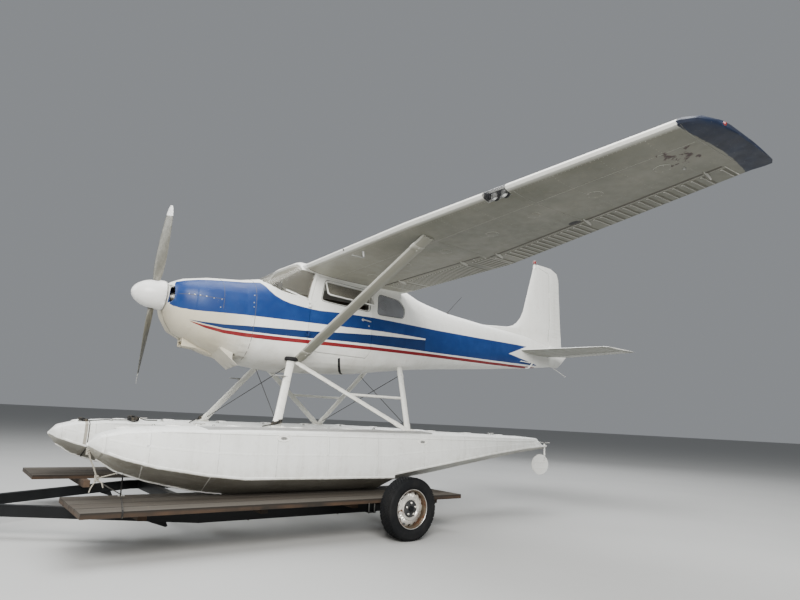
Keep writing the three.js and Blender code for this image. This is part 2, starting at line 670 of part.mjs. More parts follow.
function buildFin() {
  const upright = (rows) => loft(rows.map(([z, front, rear, half]) =>
    tailRing(front, rear, half, (x, w) => [x, w, z])));
  const whole = upright(FIN);
  const hinge = [[RUDDER_X, 0, 2752], [RUDDER_X, 0, RUDDER_TOP]];
  const rearOf = (grow) => box(-7100, RUDDER_X, -200, 200, 2352 - grow, RUDDER_TOP + 100);
  const upper = (grow) => box(
    -7100, -5000, -200, 200, 2741 - grow * 2, RUDDER_TOP + (grow ? 0 : -CLEAR));
  const cut = hinged(whole, ...hinge, [36, 26], rearOf, [0.04, 0.35, 0.7], upper);
  // The balance of the rudder reaches forward over the fin
  const crownLine = (x, z) => sidePrism([
    [-7200, z], [-6330, z], [x, z + 70], [x, 4500], [-7200, 4500],
  ], -200, 200);
  const crown = whole.intersect(crownLine(-6035, RUDDER_TOP - CLEAR));
  const foot = upright(RUDDER_FOOT).intersect(box(-7100, RUDDER_X + 24, -200, 200, 2300, 2752));
  add('rudder', WHITE, join([cut.moving, crown, foot]));

  const beacon = round([-5925, 0, 4200], [-5925, 0, 4350], 30, 12);
  const fin = cut.fixed.subtract(outsideGrown)
    .subtract(box(-7100, RUDDER_X + 44, -200, 200, 2300, 2762));
  add('fin', WHITE, fin.add(beacon).subtract(crownLine(-6027, RUDDER_TOP - CLEAR * 2)));
}

function buildTailCone(plane) {
  const cavity = hull(25).intersect(span(-5200, -2700));
  const tubeBore = round([ELEVATOR_X, -200, TAILPLANE_Z], [ELEVATOR_X, 200, TAILPLANE_Z], 26, 16);
  const root = plane.intersect(box(-7000, -5000, -400, 400, 2300, 2800));
  const cone = cutBy(outside.intersect(span(-6318, -2835.3)).subtract(cavity), root);
  const slot = box(-6400, TAIL_CUT_X, -90, 90, 2510, 2600);
  add('tail_cone', WHITE, cone.subtract(tubeBore).subtract(slot));
}

// Propeller with its spinner
function buildPropeller() {
  // Radius and distance from the rear edge
  const profile = [
    [0, 352], [40, 342], [85, 310], [125, 255], [152, 190], [166, 120], [171, 60], [172, 0], [0, 0],
  ];
  const spinner = new THREE.LatheGeometry(profile.map(([r, h]) => new THREE.Vector2(r, h)), 24);
  spinner.rotateZ(-Math.PI / 2);
  spinner.translate(SPINNER_REAR, 0, THRUST_Z);
  // Blade sections: radius, chord, thickness, pitch in degrees
  const BLADE = [
    [90, 90, 70, 60], [180, 100, 44, 50], [400, 150, 26, 36], [750, 158, 14, 24], [980, 118, 8, 18],
    [PROP_RADIUS, 50, 5, 17],
  ];
  const blade = loft(BLADE.map(([r, chord, thick, pitch]) => {
    const turn = THREE.MathUtils.degToRad(pitch);
    return [[1, 0], [0.5, 0.5], [-0.5, 0.5], [-1, 0], [-0.5, -0.5], [0.5, -0.5]].map(([c, t]) => [
      c * chord / 2 * Math.sin(turn) + t * thick * Math.cos(turn),
      t * thick * Math.sin(turn) - c * chord / 2 * Math.cos(turn),
      r,
    ]);
  }));
  const placed = (turn) => blade.rotate([turn, 0, 0]).translate([PROP_X, 0, THRUST_Z]);
  add('propeller', GREY, join([solid(spinner), placed(-PROP_LEAN), placed(180 - PROP_LEAN)]));
}

// Floats and their struts
function floatRing([x, keel, chine, half, deck, crown, rake], y0) {
  const corners = [
    [0, keel], [half * 0.98, chine], [half, chine + (deck - chine) * 0.4], [half * 0.94, deck - 12],
    [half * 0.78, deck + crown * 0.4], [0, deck + crown],
  ];
  const both = [...corners, ...corners.slice(1, -1).reverse().map(([y, z]) => [-y, z])];
  return both.map(([y, z]) => [x + rake * (z - keel) / (deck - keel), y0 + y, z]);
}

function buildFloats(wingStrut) {
  const body = loft(FLOAT.map((row) => floatRing(row, FLOAT_Y)));
  const taken = [wingStrut, outsideGrown];
  const struts = FLOAT_STRUTS.map(([name, top, low, wide, deep]) => {
    let made = strut(stretched(low, top, 60), stretched(top, low, 60), wide, deep);
    if (name === 'diagonal') made = made.add(sideBar());
    for (const other of taken) made = cutBy(made, other);
    made = largest(cutBy(made, body));
    taken.push(made);
    addPair(`${name}_float_strut`, WHITE, made);
    return made;
  });
  const bracket = box(WATER_RUDDER_X - 24, -4600, FLOAT_Y - 24, FLOAT_Y + 24, 925, 955)
    .subtract(round([WATER_RUDDER_X, FLOAT_Y, 900], [WATER_RUDDER_X, FLOAT_Y, 1000], 14.6, 12));
  addPair('float', WHITE, body.add(bracket));
  for (const [name, x] of SPREADERS) {
    const bar = strut([x, -1000, SPREADER_Z], [x, 1000, SPREADER_Z], 70, 50);
    const kept = cutBy(cutBy(bar, body), mirror(body));
    add(`${name}_spreader_bar`, WHITE, largest(kept));
  }
  buildWires(struts);
  buildWaterRudders(body);
}

// The level bar from the middle of the diagonal to the middle of the rear strut
function sideBar() {
  return strut([-1340, 762, 1504], [-2240, 762, 1508], 34, 30);
}

function stretched(from, to, extra) {
  const [a, b] = [new THREE.Vector3(...from), new THREE.Vector3(...to)];
  return b.clone().addScaledVector(b.clone().sub(a).normalize(), extra).toArray();
}

function largest(made) {
  return made.decompose().sort((a, b) => b.volume() - a.volume())[0];
}

// Crossed wires between the left and right struts of a pair, joined where they cross
function buildWires(struts) {
  for (const i of [0, 1]) {
    const [name, top, low] = FLOAT_STRUTS[i];
    const at = (share, side) => low.map((value, k) =>
      (value + (top[k] - value) * share) * (k === 1 ? side : 1));
    const wires = round(at(0.05, 1), at(0.9, -1), 5, 6).add(round(at(0.05, -1), at(0.9, 1), 5, 6));
    const cut = cutBy(cutBy(wires, struts[i]), mirror(struts[i]));
    add(`${name}_bracing_wires`, STEEL, largest(cut));
  }
}

function buildWaterRudders(body) {
  const axisX = WATER_RUDDER_X;
  const post = round([axisX, FLOAT_Y, 800], [axisX, FLOAT_Y, 985], 14, 12);
  const arm = box(axisX - 12, axisX + 12, FLOAT_Y - 10, FLOAT_Y + 10, 760, 812);
  const oval = Array.from({ length: 20 }, (_, k) => {
    const turn = (2 * Math.PI * k) / 20;
    return [-4640 + 190 * Math.cos(turn), 668 + 148 * Math.sin(turn)];
  });
  const blade = sidePrism(oval, FLOAT_Y - 7, FLOAT_Y + 7);
  const made = join([post, arm, blade]);
  addPair('water_rudder', WHITE, made.subtract(body));
}

// Trailer

function buildTrailer() {
  const boardLow = DECK_TOP - BOARD.thick;
  const pitch = BOARD.wide + BOARD.gap;
  const outer = BOARD.inner + BOARD.count * pitch - BOARD.gap;
  const boards = Array.from({ length: BOARD.count }, (_, i) => {
    const y = BOARD.inner + i * pitch;
    return box(BOARD.rear, BOARD.front, y, y + BOARD.wide, boardLow, DECK_TOP);
  });
  const bearers = [1180, 80, -960, -2080].map((x) =>
    box(x - 35, x + 35, x > 1000 ? 700 : BOARD.inner + 10, outer - 230, RAIL.top + GAP, boardLow + 1));
  addPair('board_deck', TIMBER, join([...boards, ...bearers]));

  const leg = planPrism([
    [2520, 40], [2520, 120], [590, RAIL.y + RAIL.wide / 2], [BOARD.rear + 60, RAIL.y + RAIL.wide / 2],
    [BOARD.rear + 60, RAIL.y - RAIL.wide / 2], [560, RAIL.y - RAIL.wide / 2],
  ], RAIL.low, RAIL.top);
  addPair('trailer_rail', BLACK_STEEL, leg);
  const inner = RAIL.y - RAIL.wide / 2 - GAP;
  for (const [name, x] of [['front', 420], ['rear', -2120]]) {
    add(`${name}_cross_member`, BLACK_STEEL, box(x - 40, x + 40, -inner, inner, RAIL.low, RAIL.top));
  }
  const tyreInner = TYRE.y - TYRE.wide / 2;
  const axleHalf = tyreInner - 25;
  const beam = box(TYRE.x - 30, TYRE.x + 30, -axleHalf, axleHalf, RAIL.top + GAP, RAIL.top + GAP + 60);
  const axleZ = TYRE.radius;
  const stub = (side) => round(
    [TYRE.x, side * (axleHalf - 20), axleZ], [TYRE.x, side * (TYRE.y + 40), axleZ], 20, 16);
  add('axle', BLACK_STEEL, join([beam, stub(1), stub(-1)]));
  buildWheels(axleZ);
  buildCoupling();
}

function wheelSolid(profile, sides, x, y, z) {
  const closed = [...profile, profile[0]];
  const geometry = new THREE.LatheGeometry(closed.map(([r, h]) => new THREE.Vector2(r, h)), sides);
  geometry.translate(x, y, z);
  return solid(geometry);
}

function buildWheels(axleZ) {
  const half = TYRE.wide / 2;
  // Profiles: radius, distance from the wheel's middle plane
  const tyre = [
    [TYRE.rim, -70], [TYRE.rim + 20, -84], [TYRE.rim + 60, -half], [TYRE.radius - 22, -half + 8],
    [TYRE.radius, -66], [TYRE.radius, 66], [TYRE.radius - 22, half - 8], [TYRE.rim + 60, half],
    [TYRE.rim + 20, 84], [TYRE.rim, 70],
  ];
  const rim = [
    [20.5, -30], [75, -30], [75, 22], [150, 30], [172, 0], [172, -74], [TYRE.rim - GAP, -74],
    [TYRE.rim - GAP, 74], [178, 74], [162, 40], [110, 46], [70, 60], [20.5, 60],
  ];
  const at = (profile) => wheelSolid(profile, 32, TYRE.x, 0, 0).translate([0, TYRE.y, axleZ]);
  addPair('tyre', RUBBER, at(tyre));
  addPair('wheel', STEEL, at(rim));
}

function buildCoupling() {
  const z = (RAIL.top + RAIL.low) / 2;
  const head = join([
    planPrism([
      [2600, -39.6], [2600, 39.6], [2520, 39.6], [2360, 139.2], [2360, -139.2], [2520, -39.6],
    ], z - 30, z + 34),
    round([2650, 0, z - 40], [2650, 0, z + 30], 50, 16),
    box(2590, 2660, -34, 34, z - 20, z + 28),
  ]);
  const cup = round([2650, 0, z - 60], [2650, 0, z + 5], 26, 16);
  const { x, y, radius, wide, trail } = JOCKEY;
  const clamp = box(x - 40, x + 40, -60, 60, z + 10, RAIL.top + 36)
    .add(box(x - 25, x + 25, 0, y, RAIL.top + GAP, RAIL.top + 36));
  const tube = round([x, y, JOCKEY.tubeLow], [x, y, 700], 26, 12);
  const crank = round([x, y, 690], [x, y, 720], 12, 8).add(box(x - 90, x + 10, y - 8, y + 8, 712, 726));
  add('coupling', BLACK_STEEL, join([head, clamp, tube, crank]).subtract(cup));

  const crown = radius * 2 + 6;
  const cheek = wide / 2 + 5;
  const fork = join([
    round([x, y, crown + 2], [x, y, JOCKEY.tubeLow - GAP], 22, 12),
    box(x - trail - 20, x + 24, y - cheek - 6, y + cheek + 6, crown, crown + 12),
    box(x - trail - 20, x - trail + 20, y - cheek - 6, y - cheek, radius - 16, crown + 4),
    box(x - trail - 20, x - trail + 20, y + cheek, y + cheek + 6, radius - 16, crown + 4),
    round([x - trail, y - cheek - 12, radius], [x - trail, y + cheek + 12, radius], 8, 12),
  ]);
  add('jockey_fork', STEEL, fork);
  const half = wide / 2;
  const wheel = wheelSolid([
    [8.5, -half + 4], [radius * 0.55, -half + 4], [radius - 6, -half], [radius, -half + 6],
    [radius, half - 6], [radius - 6, half], [radius * 0.55, half - 4], [8.5, half - 4],
  ], 24, x - trail, 0, 0);
  add('jockey_wheel', RUBBER, wheel.translate([0, y, radius]));
}

buildCowling();
buildCowlFlap();
buildEngine();
const shell = buildCabin();
const glass = buildGlass();
buildDoors(shell, glass);
buildCabinFittings();
const { wingStrut } = buildWings();
buildTailCone(buildTailplane());
buildFin();
buildPropeller();
buildFloats(wingStrut);
buildTrailer();

export default model;
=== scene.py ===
"""Looks of a high-wing floatplane on its launching trailer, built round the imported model.

Metres. +X is towards the nose, +Y to port, +Z up, and the ground is z = 0.
Heights and stations of the paint edges were measured on the side of the hull. A spot is a point
of a surface with its outward normal, and a station is an x.
"""
import math

import bmesh
import bpy
from mathutils import Matrix, Vector
from mathutils.bvhtree import BVHTree


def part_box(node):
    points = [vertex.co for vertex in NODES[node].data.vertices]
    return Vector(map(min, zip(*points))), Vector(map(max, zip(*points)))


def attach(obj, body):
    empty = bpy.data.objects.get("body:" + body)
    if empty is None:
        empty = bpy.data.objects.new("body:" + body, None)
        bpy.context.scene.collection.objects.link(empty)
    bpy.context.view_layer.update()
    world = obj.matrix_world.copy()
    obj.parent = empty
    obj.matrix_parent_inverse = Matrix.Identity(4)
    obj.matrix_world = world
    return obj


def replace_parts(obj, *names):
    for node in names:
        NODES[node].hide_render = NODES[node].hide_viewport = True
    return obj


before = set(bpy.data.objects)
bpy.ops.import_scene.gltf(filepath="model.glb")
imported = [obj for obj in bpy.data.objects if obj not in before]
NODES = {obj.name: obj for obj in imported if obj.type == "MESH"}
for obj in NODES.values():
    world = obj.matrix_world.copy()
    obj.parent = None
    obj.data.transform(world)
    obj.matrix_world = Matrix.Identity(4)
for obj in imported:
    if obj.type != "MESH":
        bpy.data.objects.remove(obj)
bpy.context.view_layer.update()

ROOT = "airframe_and_trailer"
SIDES = (("left", 1), ("right", -1))
AHEAD = Vector((1, 0, 0))
UP = Vector((0, 0, 1))
DOWN = Vector((0, 0, -1))

# Camera, at the photograph's place and height
CAMERA_AT = (4.788, 6.9283, 1.214)
CAMERA_RIGHT = (-0.78295, 0.62014, 0.04903)
CAMERA_UP = (0.16448, 0.13037, 0.97773)
CAMERA_BACK = (0.59994, 0.77358, -0.20407)
CAMERA_LENS = 26.0

# Paint edges on the hull's side: (station x, height z), from nose to tail
BLUE_TOP = ((2.86, 2.646), (2.63, 2.698), (2.286, 2.742), (1.927, 2.782), (1.887, 2.753), (1.828, 2.683),
            (1.755, 2.631), (1.65, 2.590), (1.545, 2.568), (1.40, 2.553), (1.255, 2.543), (1.13, 2.540),
            (0.877, 2.556), (0.37, 2.572), (-0.98, 2.583), (-1.93, 2.605), (-3.10, 2.634), (-3.43, 2.638))
BLUE_LOW = ((2.90, 2.345), (2.80, 2.326), (2.72, 2.316), (2.56, 2.318), (2.12, 2.338), (1.593, 2.354),
            (1.119, 2.370), (0.566, 2.389), (0.085, 2.408), (-0.755, 2.424))
SECOND_TOP = ((2.705, 2.212), (2.62, 2.206), (2.54, 2.202), (2.34, 2.200), (2.10, 2.214), (1.58, 2.242),
              (1.155, 2.268), (0.72, 2.305), (0.31, 2.335), (-0.22, 2.368), (-0.755, 2.400))
SECOND_LOW = ((2.705, 2.211), (2.53, 2.178), (2.33, 2.156), (2.09, 2.153), (1.77, 2.155), (1.36, 2.166),
              (0.71, 2.194), (0.02, 2.216), (-1.0, 2.240), (-2.41, 2.283), (-3.57, 2.319), (-3.85, 2.33))
RED_TOP = ((2.70, 2.200), (2.526, 2.165), (2.325, 2.139), (2.086, 2.132), (1.565, 2.140), (1.09, 2.153),
           (0.02, 2.182), (-1.0, 2.216), (-2.426, 2.256), (-3.56, 2.289), (-3.85, 2.30))
RED_LOW = ((2.70, 2.199), (2.653, 2.180), (2.517, 2.136), (2.314, 2.100), (2.075, 2.086), (1.754, 2.087),
           (1.083, 2.105), (0.013, 2.138), (-1.02, 2.170), (-2.46, 2.217), (-3.074, 2.236), (-3.85, 2.268))
# Front edge of the blue: (height z, station x)
BLUE_FRONT = ((2.323, 2.80), (2.351, 2.872), (2.383, 2.900), (2.426, 2.898), (2.485, 2.890), (2.542, 2.888),
              (2.613, 2.878), (2.644, 2.858))
STRIPE_END_X = -0.752           # the white stripe between the two blues stops here
BANDS_END_X = -3.80
ARROW = {"x": -2.892, "z": 2.449, "up": 0.345, "down": 0.119}   # white arrow at the tail

# Lowest white on a float's side: (station x, height z)
FLOAT_CHINE = ((3.69, 0.868), (3.61, 0.822), (3.43, 0.757), (3.16, 0.690), (2.70, 0.618), (2.35, 0.582),
               (0.535, 0.565), (0.534, 0.600), (-0.25, 0.705), (-1.20, 0.820), (-2.02, 0.901),
               (-2.61, 0.930))

# The board decks: y of their inner edge, y from board to board, height and outer edge
BOARDS_Y = 0.920
BOARD_PITCH = 0.238
BOARD_TOP = 0.410
BOARD_OUT = 1.866

# The wing seen from above: y, leading edge x; and y, chord
WING_EDGE = ((0.565, 1.387), (2.540, 1.386), (5.283, 1.263), (5.370, 1.195))
WING_CHORD = ((0.565, 1.626), (2.540, 1.626), (5.283, 1.130), (5.370, 1.075))


# Shader graphs

class Graph:
    """One material's node tree, built by short calls. A value is a number, a tuple or a socket."""

    def __init__(self, name, rough=0.5, metal=0.0, coat=0.0, gloss=0.5):
        self.material = bpy.data.materials.new(name)
        self.material.use_nodes = True
        self.tree = self.material.node_tree
        self.shader = self.tree.nodes["Principled BSDF"]
        self.shader.inputs["Roughness"].default_value = rough
        self.shader.inputs["Metallic"].default_value = metal
        self.shader.inputs["Coat Weight"].default_value = coat
        self.shader.inputs["Specular IOR Level"].default_value = gloss
        self.coords = self.put("ShaderNodeTexCoord").outputs["Object"]
        self.xyz = None

    def put(self, kind, **settings):
        node = self.tree.nodes.new(kind)
        for key, value in settings.items():
            setattr(node, key, value)
        return node

    def feed(self, socket, value):
        if isinstance(value, bpy.types.NodeSocket):
            self.tree.links.new(value, socket)
        elif isinstance(value, tuple) and len(value) == 3 and socket.type == "RGBA":
            socket.default_value = (*value, 1.0)
        else:
            socket.default_value = value

    def axis(self, letter):
        if self.xyz is None:
            self.xyz = self.put("ShaderNodeSeparateXYZ")
            self.feed(self.xyz.inputs[0], self.coords)
        return self.xyz.outputs["XYZ".index(letter)]

    def upward(self):
        """How far a face looks up: 1 is straight up, -1 straight down."""
        facing = self.put("ShaderNodeSeparateXYZ")
        self.feed(facing.inputs[0], self.put("ShaderNodeNewGeometry").outputs["Normal"])
        return facing.outputs[2]

    def math(self, operation, a, b=0.0, c=0.0, clamp=False):
        node = self.put("ShaderNodeMath", operation=operation, use_clamp=clamp)
        for socket, value in zip(node.inputs, (a, b, c)):
            self.feed(socket, value)
        return node.outputs[0]

    def above(self, value, edge, soft=0.001):
        """1 where value is over edge, 0 where it is under, with a soft step between."""
        return self.math("MULTIPLY_ADD", self.math("SUBTRACT", value, edge), 0.5 / soft, 0.5, clamp=True)

    def both(self, *masks):
        made = masks[0]
        for one in masks[1:]:
            made = self.math("MULTIPLY", made, one)
        return made

    def either(self, *masks):
        made = masks[0]
        for one in masks[1:]:
            made = self.math("MAXIMUM", made, one)
        return made

    def flip(self, mask):
        return self.math("SUBTRACT", 1.0, mask)

    def curve(self, value, points, straight=True):
        """A height that follows a short table of (position, height) points."""
        points = sorted(points)
        x0, x1 = points[0][0], points[-1][0]
        heights = [h for _, h in points]
        low, high = min(heights), max(heights)
        span = max(high - low, 1e-6)
        share = self.math("MULTIPLY_ADD", value, 1 / (x1 - x0), -x0 / (x1 - x0), clamp=True)
        node = self.put("ShaderNodeFloatCurve")
        line = node.mapping.curves[0]
        places = [((x - x0) / (x1 - x0), (h - low) / span) for x, h in points]
        for i, place in enumerate(places):
            if i < 2:
                line.points[i].location = place
            else:
                line.points.new(*place)
        for point in line.points:
            point.handle_type = "VECTOR" if straight else "AUTO"
        node.mapping.update()
        self.feed(node.inputs["Value"], share)
        return self.math("MULTIPLY_ADD", node.outputs[0], span, low)

    def stretched(self, stretch):
        spread = self.put("ShaderNodeMapping")
        self.feed(spread.inputs["Vector"], self.coords)
        spread.inputs["Scale"].default_value = stretch
        return spread.outputs[0]

    def noise(self, scale, detail=4.0, stretch=(1, 1, 1), rough=0.55, warp=0.0):
        node = self.put("ShaderNodeTexNoise")
        self.feed(node.inputs["Vector"], self.stretched(stretch))
        for key, value in (("Scale", scale), ("Detail", detail), ("Roughness", rough), ("Distortion", warp)):
            node.inputs[key].default_value = value
        return node.outputs["Fac"]

    def cells(self, scale, stretch=(1, 1, 1)):
        """Distance from the middle of the nearest of many cells."""
        node = self.put("ShaderNodeTexVoronoi")
        self.feed(node.inputs["Vector"], self.stretched(stretch))
        node.inputs["Scale"].default_value = scale
        return node.outputs["Distance"]

    def bands(self, scale, direction):
        """The node of stripes that follow each other along one direction."""
        node = self.put("ShaderNodeTexWave", wave_type="BANDS", bands_direction=direction)
        self.feed(node.inputs["Vector"], self.coords)
        node.inputs["Scale"].default_value = scale
        return node

    def patchy(self, low, high, scale=11.0, detail=5.0):
        """A value that varies softly over the surface, for roughness."""
        return self.fit(self.noise(scale, detail), 0.3, 0.7, low, high)

    def fit(self, value, low, high, to_low=0.0, to_high=1.0):
        node = self.put("ShaderNodeMapRange")
        for key, one in (("Value", value), ("From Min", low), ("From Max", high), ("To Min", to_low),
                         ("To Max", to_high)):
            self.feed(node.inputs[key], one)
        return node.outputs[0]

    def mix(self, share, a, b):
        node = self.put("ShaderNodeMix", data_type="RGBA")
        self.feed(node.inputs[0], share)
        self.feed(node.inputs[6], a)
        self.feed(node.inputs[7], b)
        return node.outputs[2]

    def bump(self, height, distance=0.001, strength=1.0, under=None):
        node = self.put("ShaderNodeBump")
        node.inputs["Strength"].default_value = strength
        node.inputs["Distance"].default_value = distance
        self.feed(node.inputs["Height"], height)
        if under is not None:
            self.feed(node.inputs["Normal"], under)
        return node.outputs[0]

    def out(self, colour=None, rough=None, normal=None):
        for key, value in (("Base Color", colour), ("Roughness", rough), ("Normal", normal)):
            if value is not None:
                self.feed(self.shader.inputs[key], value)
        return self.material


WHITE = (0.79, 0.79, 0.75)
CREAM = (0.60, 0.545, 0.42)
BLUE = (0.006, 0.031, 0.140)
DEEP_BLUE = (0.005, 0.023, 0.095)
NAVY = (0.002, 0.005, 0.016)
RED = (0.19, 0.010, 0.015)
GRIME = (0.26, 0.22, 0.16)
RUST = (0.075, 0.034, 0.018)
FADED = (0.60, 0.57, 0.50)
CHALKY_BLUE = (0.024, 0.085, 0.27)
CHALKY_DEEP_BLUE = (0.012, 0.048, 0.17)
CHALKY_NAVY = (0.008, 0.020, 0.052)
FADED_RED = (0.36, 0.06, 0.03)
CHIP = (0.55, 0.55, 0.53)
OIL = (0.075, 0.062, 0.045)
DARK_LINING = (0.115, 0.090, 0.064)
LINING = (0.165, 0.135, 0.100)


def worn(g, colour, fade=0.10, grime=0.22, streaks=0.0, scale=1.0):
    """Old gloss paint: broad fading, fine specks and, where asked, streaks that run down."""
    broad = g.noise(1.7 * scale, 5.0)
    fine = g.noise(38.0 * scale, 3.0)
    faded = g.mix(g.fit(broad, 0.35, 0.75, 0.0, fade), colour, FADED)
    spots = g.fit(g.math("MULTIPLY", g.noise(9.0 * scale, 8.0, rough=0.7), fine), 0.28, 0.46, 0.0, grime)
    painted = g.mix(spots, faded, GRIME)
    if streaks:
        run = g.noise(16.0, 4.0, stretch=(1.0, 1.0, 0.05))
        painted = g.mix(g.fit(run, 0.52, 0.78, 0.0, streaks), painted, GRIME)
    return painted


def sheet(g, ripple=0.0016, under=None):
    """Thin metal sheet that isn't quite flat, with a fine paint texture on it."""
    wavy = g.bump(g.noise(3.2, 1.0), distance=ripple, strength=0.55, under=under)
    return g.bump(g.noise(420.0, 2.0), distance=0.00012, strength=0.35, under=wavy)


def hull_bands(g, x, z):
    """Where the hull is blue, where it is red, and where the blue is the deeper one."""
    over = lambda edge: g.above(z, g.curve(x, edge))
    under = lambda edge: g.flip(g.above(z, g.curve(x, edge)))
    behind = lambda station: g.flip(g.above(x, station))
    ahead = g.above(x, g.curve(z, BLUE_FRONT))
    first = g.both(under(BLUE_TOP), over(BLUE_LOW), g.flip(ahead))
    second = g.both(under(SECOND_TOP), over(SECOND_LOW), behind(SECOND_TOP[0][0]))
    whole = g.both(under(BLUE_TOP), over(SECOND_LOW), behind(STRIPE_END_X))
    back = g.math("SUBTRACT", ARROW["x"], x)
    upper_arm = g.math("MULTIPLY_ADD", back, ARROW["up"], ARROW["z"])
    lower_arm = g.math("MULTIPLY_ADD", back, -ARROW["down"], ARROW["z"])
    arrow = g.both(g.flip(g.above(z, upper_arm)), g.above(z, lower_arm), behind(ARROW["x"]))
    beyond = behind(BANDS_END_X)
    blue = g.both(g.either(first, second, whole), g.flip(arrow), g.flip(beyond))
    red = g.both(under(RED_TOP), over(RED_LOW), behind(RED_TOP[0][0]), g.flip(beyond))
    deep = g.both(g.flip(over(BLUE_LOW)), g.above(x, STRIPE_END_X))
    return blue, red, deep


def cabin_lining(g, x, z):
    """Where the hull's faces are the inside of the cabin wall."""
    wall = g.curve(x, ((-0.60, 0.425), (-0.24, 0.478), (0.30, 0.524), (1.84, 0.522)))
    within = g.both(g.flip(g.above(g.math("ABSOLUTE", g.axis("Y")), wall)), g.above(z, 2.15),
                    g.flip(g.above(z, 2.95)), g.above(x, -0.6), g.flip(g.above(x, 1.84)))
    cowl_side = g.both(g.above(x, 1.66), g.above(z, 2.60))
    rear_roof = g.both(g.flip(g.above(x, -0.25)), g.above(z, 2.70))
    return g.both(within, g.flip(g.either(cowl_side, rear_roof)))


def hull_paint():
    """White hull with two blue bands, a red line and the arrow at the tail."""
    g = Graph("hull_paint", rough=0.40, coat=0.0, gloss=0.30)
    x, z = g.axis("X"), g.axis("Z")
    blue, red, deep = hull_bands(g, x, z)
    yellow = g.both(g.fit(x, 1.9, 2.35), g.flip(g.fit(z, 2.30, 2.62)))
    white = worn(g, g.mix(yellow, WHITE, CREAM), fade=0.10, grime=0.16, streaks=0.10)
    chalk = g.fit(g.noise(5.0, 6.0), 0.42, 0.75, 0.0, 0.28)
    blue_now = g.mix(chalk, g.mix(deep, BLUE, DEEP_BLUE), g.mix(deep, CHALKY_BLUE, CHALKY_DEEP_BLUE))
    red_now = g.mix(g.fit(g.noise(7.0, 6.0), 0.5, 0.7, 0.0, 0.3), RED, FADED_RED)
    colour = g.mix(red, g.mix(blue, white, blue_now), red_now)
    chips = g.both(g.either(blue, red), g.fit(g.noise(58.0, 5.0, rough=0.75), 0.71, 0.72))
    colour = g.mix(g.math("MULTIPLY", chips, 0.6), colour, CHIP)
    # Darker towards the bottom of the hull, from about z 2.08 down.
    ragged_height = g.math("ADD", z, g.fit(g.noise(4.0, 5.0), 0.3, 0.7, -0.12, 0.12))
    colour = g.mix(g.fit(ragged_height, 1.72, 2.08, 0.42, 0.0), colour, GRIME)
    oil = g.both(g.fit(x, 1.93, 2.03), g.fit(x, 2.16, 2.06), g.fit(z, 2.12, 1.86),
                 g.fit(g.noise(13.0, 7.0, stretch=(0.3, 1, 1)), 0.46, 0.66))
    colour = g.mix(g.math("MULTIPLY", oil, 0.6), colour, OIL)
    lining = cabin_lining(g, x, z)
    colour = g.mix(lining, colour, g.mix(g.noise(120.0, 3.0), DARK_LINING, LINING))
    rough = g.patchy(0.34, 0.50)
    return g.out(colour, g.mix(lining, rough, (0.85, 0.85, 0.85)), sheet(g))


def plain_white(name="white_paint", base=WHITE, grime=0.2, streaks=0.12, ripple=0.0016, below=None):
    """White paint; below is a darker colour for the sides that face the ground, as painted shade."""
    g = Graph(name, rough=0.38, coat=0.1)
    painted = worn(g, base, grime=grime, streaks=streaks)
    if below:
        # Painted shade: faces that look down take the darker colour below.
        painted = g.mix(g.fit(g.upward(), 0.30, -0.90), painted, below)
    return g.out(painted, g.patchy(0.32, 0.5), sheet(g, ripple))


def wing_paint():
    """Greyed white, darkened underneath as painted shade, a navy tip cap and old flakes of primer near the
    tip.
    """
    g = Graph("wing_paint", rough=0.42, coat=0.04, gloss=0.4)
    x = g.axis("X")
    out = g.math("ABSOLUTE", g.axis("Y"))
    bent = g.math("MULTIPLY", g.math("POWER", g.math("ABSOLUTE", g.math("SUBTRACT", x, 0.75)), 2.0), 0.16)
    ragged = g.fit(g.noise(30.0, 5.0), 0.3, 0.7, -0.006, 0.006)
    edge = g.math("SUBTRACT", 5.30, g.math("ADD", bent, ragged))
    tip = g.above(out, edge, 0.002)
    set_back = g.math("SUBTRACT", g.curve(out, WING_EDGE), x)
    # Painted shade: faces that look down, back from the leading edge, are darkened; the leading edge stays
    # white.
    below = g.both(g.fit(g.upward(), -0.15, -0.7), g.fit(set_back, 0.0, 0.055))
    # The underside's colour: mostly painted shade with some dirt, lighter near the root and darkest
    # outboard.
    shade_and_dirt_below = g.mix(g.fit(g.noise(1.6, 6.0), 0.35, 0.7), (0.150, 0.150, 0.118), (0.205, 0.200, 0.160))
    shade_and_dirt_below = g.mix(g.fit(out, 0.6, 2.3, 0.8, 0.0), shade_and_dirt_below, (0.36, 0.35, 0.29))
    shade_and_dirt_below = g.mix(g.fit(out, 1.6, 3.2, 0.0, 0.6), shade_and_dirt_below, (0.075, 0.077, 0.058))
    worn_shaded_white = worn(g, g.mix(below, (0.66, 0.655, 0.61), shade_and_dirt_below), fade=0.10, grime=0.24)
    near_tip = g.both(g.fit(out, 4.84, 4.98), g.fit(out, 5.25, 5.16), g.fit(x, 1.06, 0.96),
                      g.fit(x, 0.58, 0.72))
    bias = g.math("MULTIPLY", near_tip, 0.20)
    flakes = g.fit(g.math("ADD", g.noise(11.0, 7.0, rough=0.66, warp=0.5), bias), 0.735, 0.75)
    primer = g.mix(g.noise(60.0), (0.060, 0.022, 0.020), (0.016, 0.014, 0.014))
    worn_shaded_white = g.mix(flakes, worn_shaded_white, primer)
    navy = g.mix(g.fit(g.noise(6.0, 5.0), 0.4, 0.8, 0.0, 0.5), NAVY, CHALKY_NAVY)
    navy = g.mix(g.fit(g.noise(75.0, 4.0, rough=0.8), 0.69, 0.70), navy, (0.5, 0.5, 0.48))
    rough = g.patchy(0.36, 0.55)
    return g.out(g.mix(tip, worn_shaded_white, navy), rough, sheet(g))


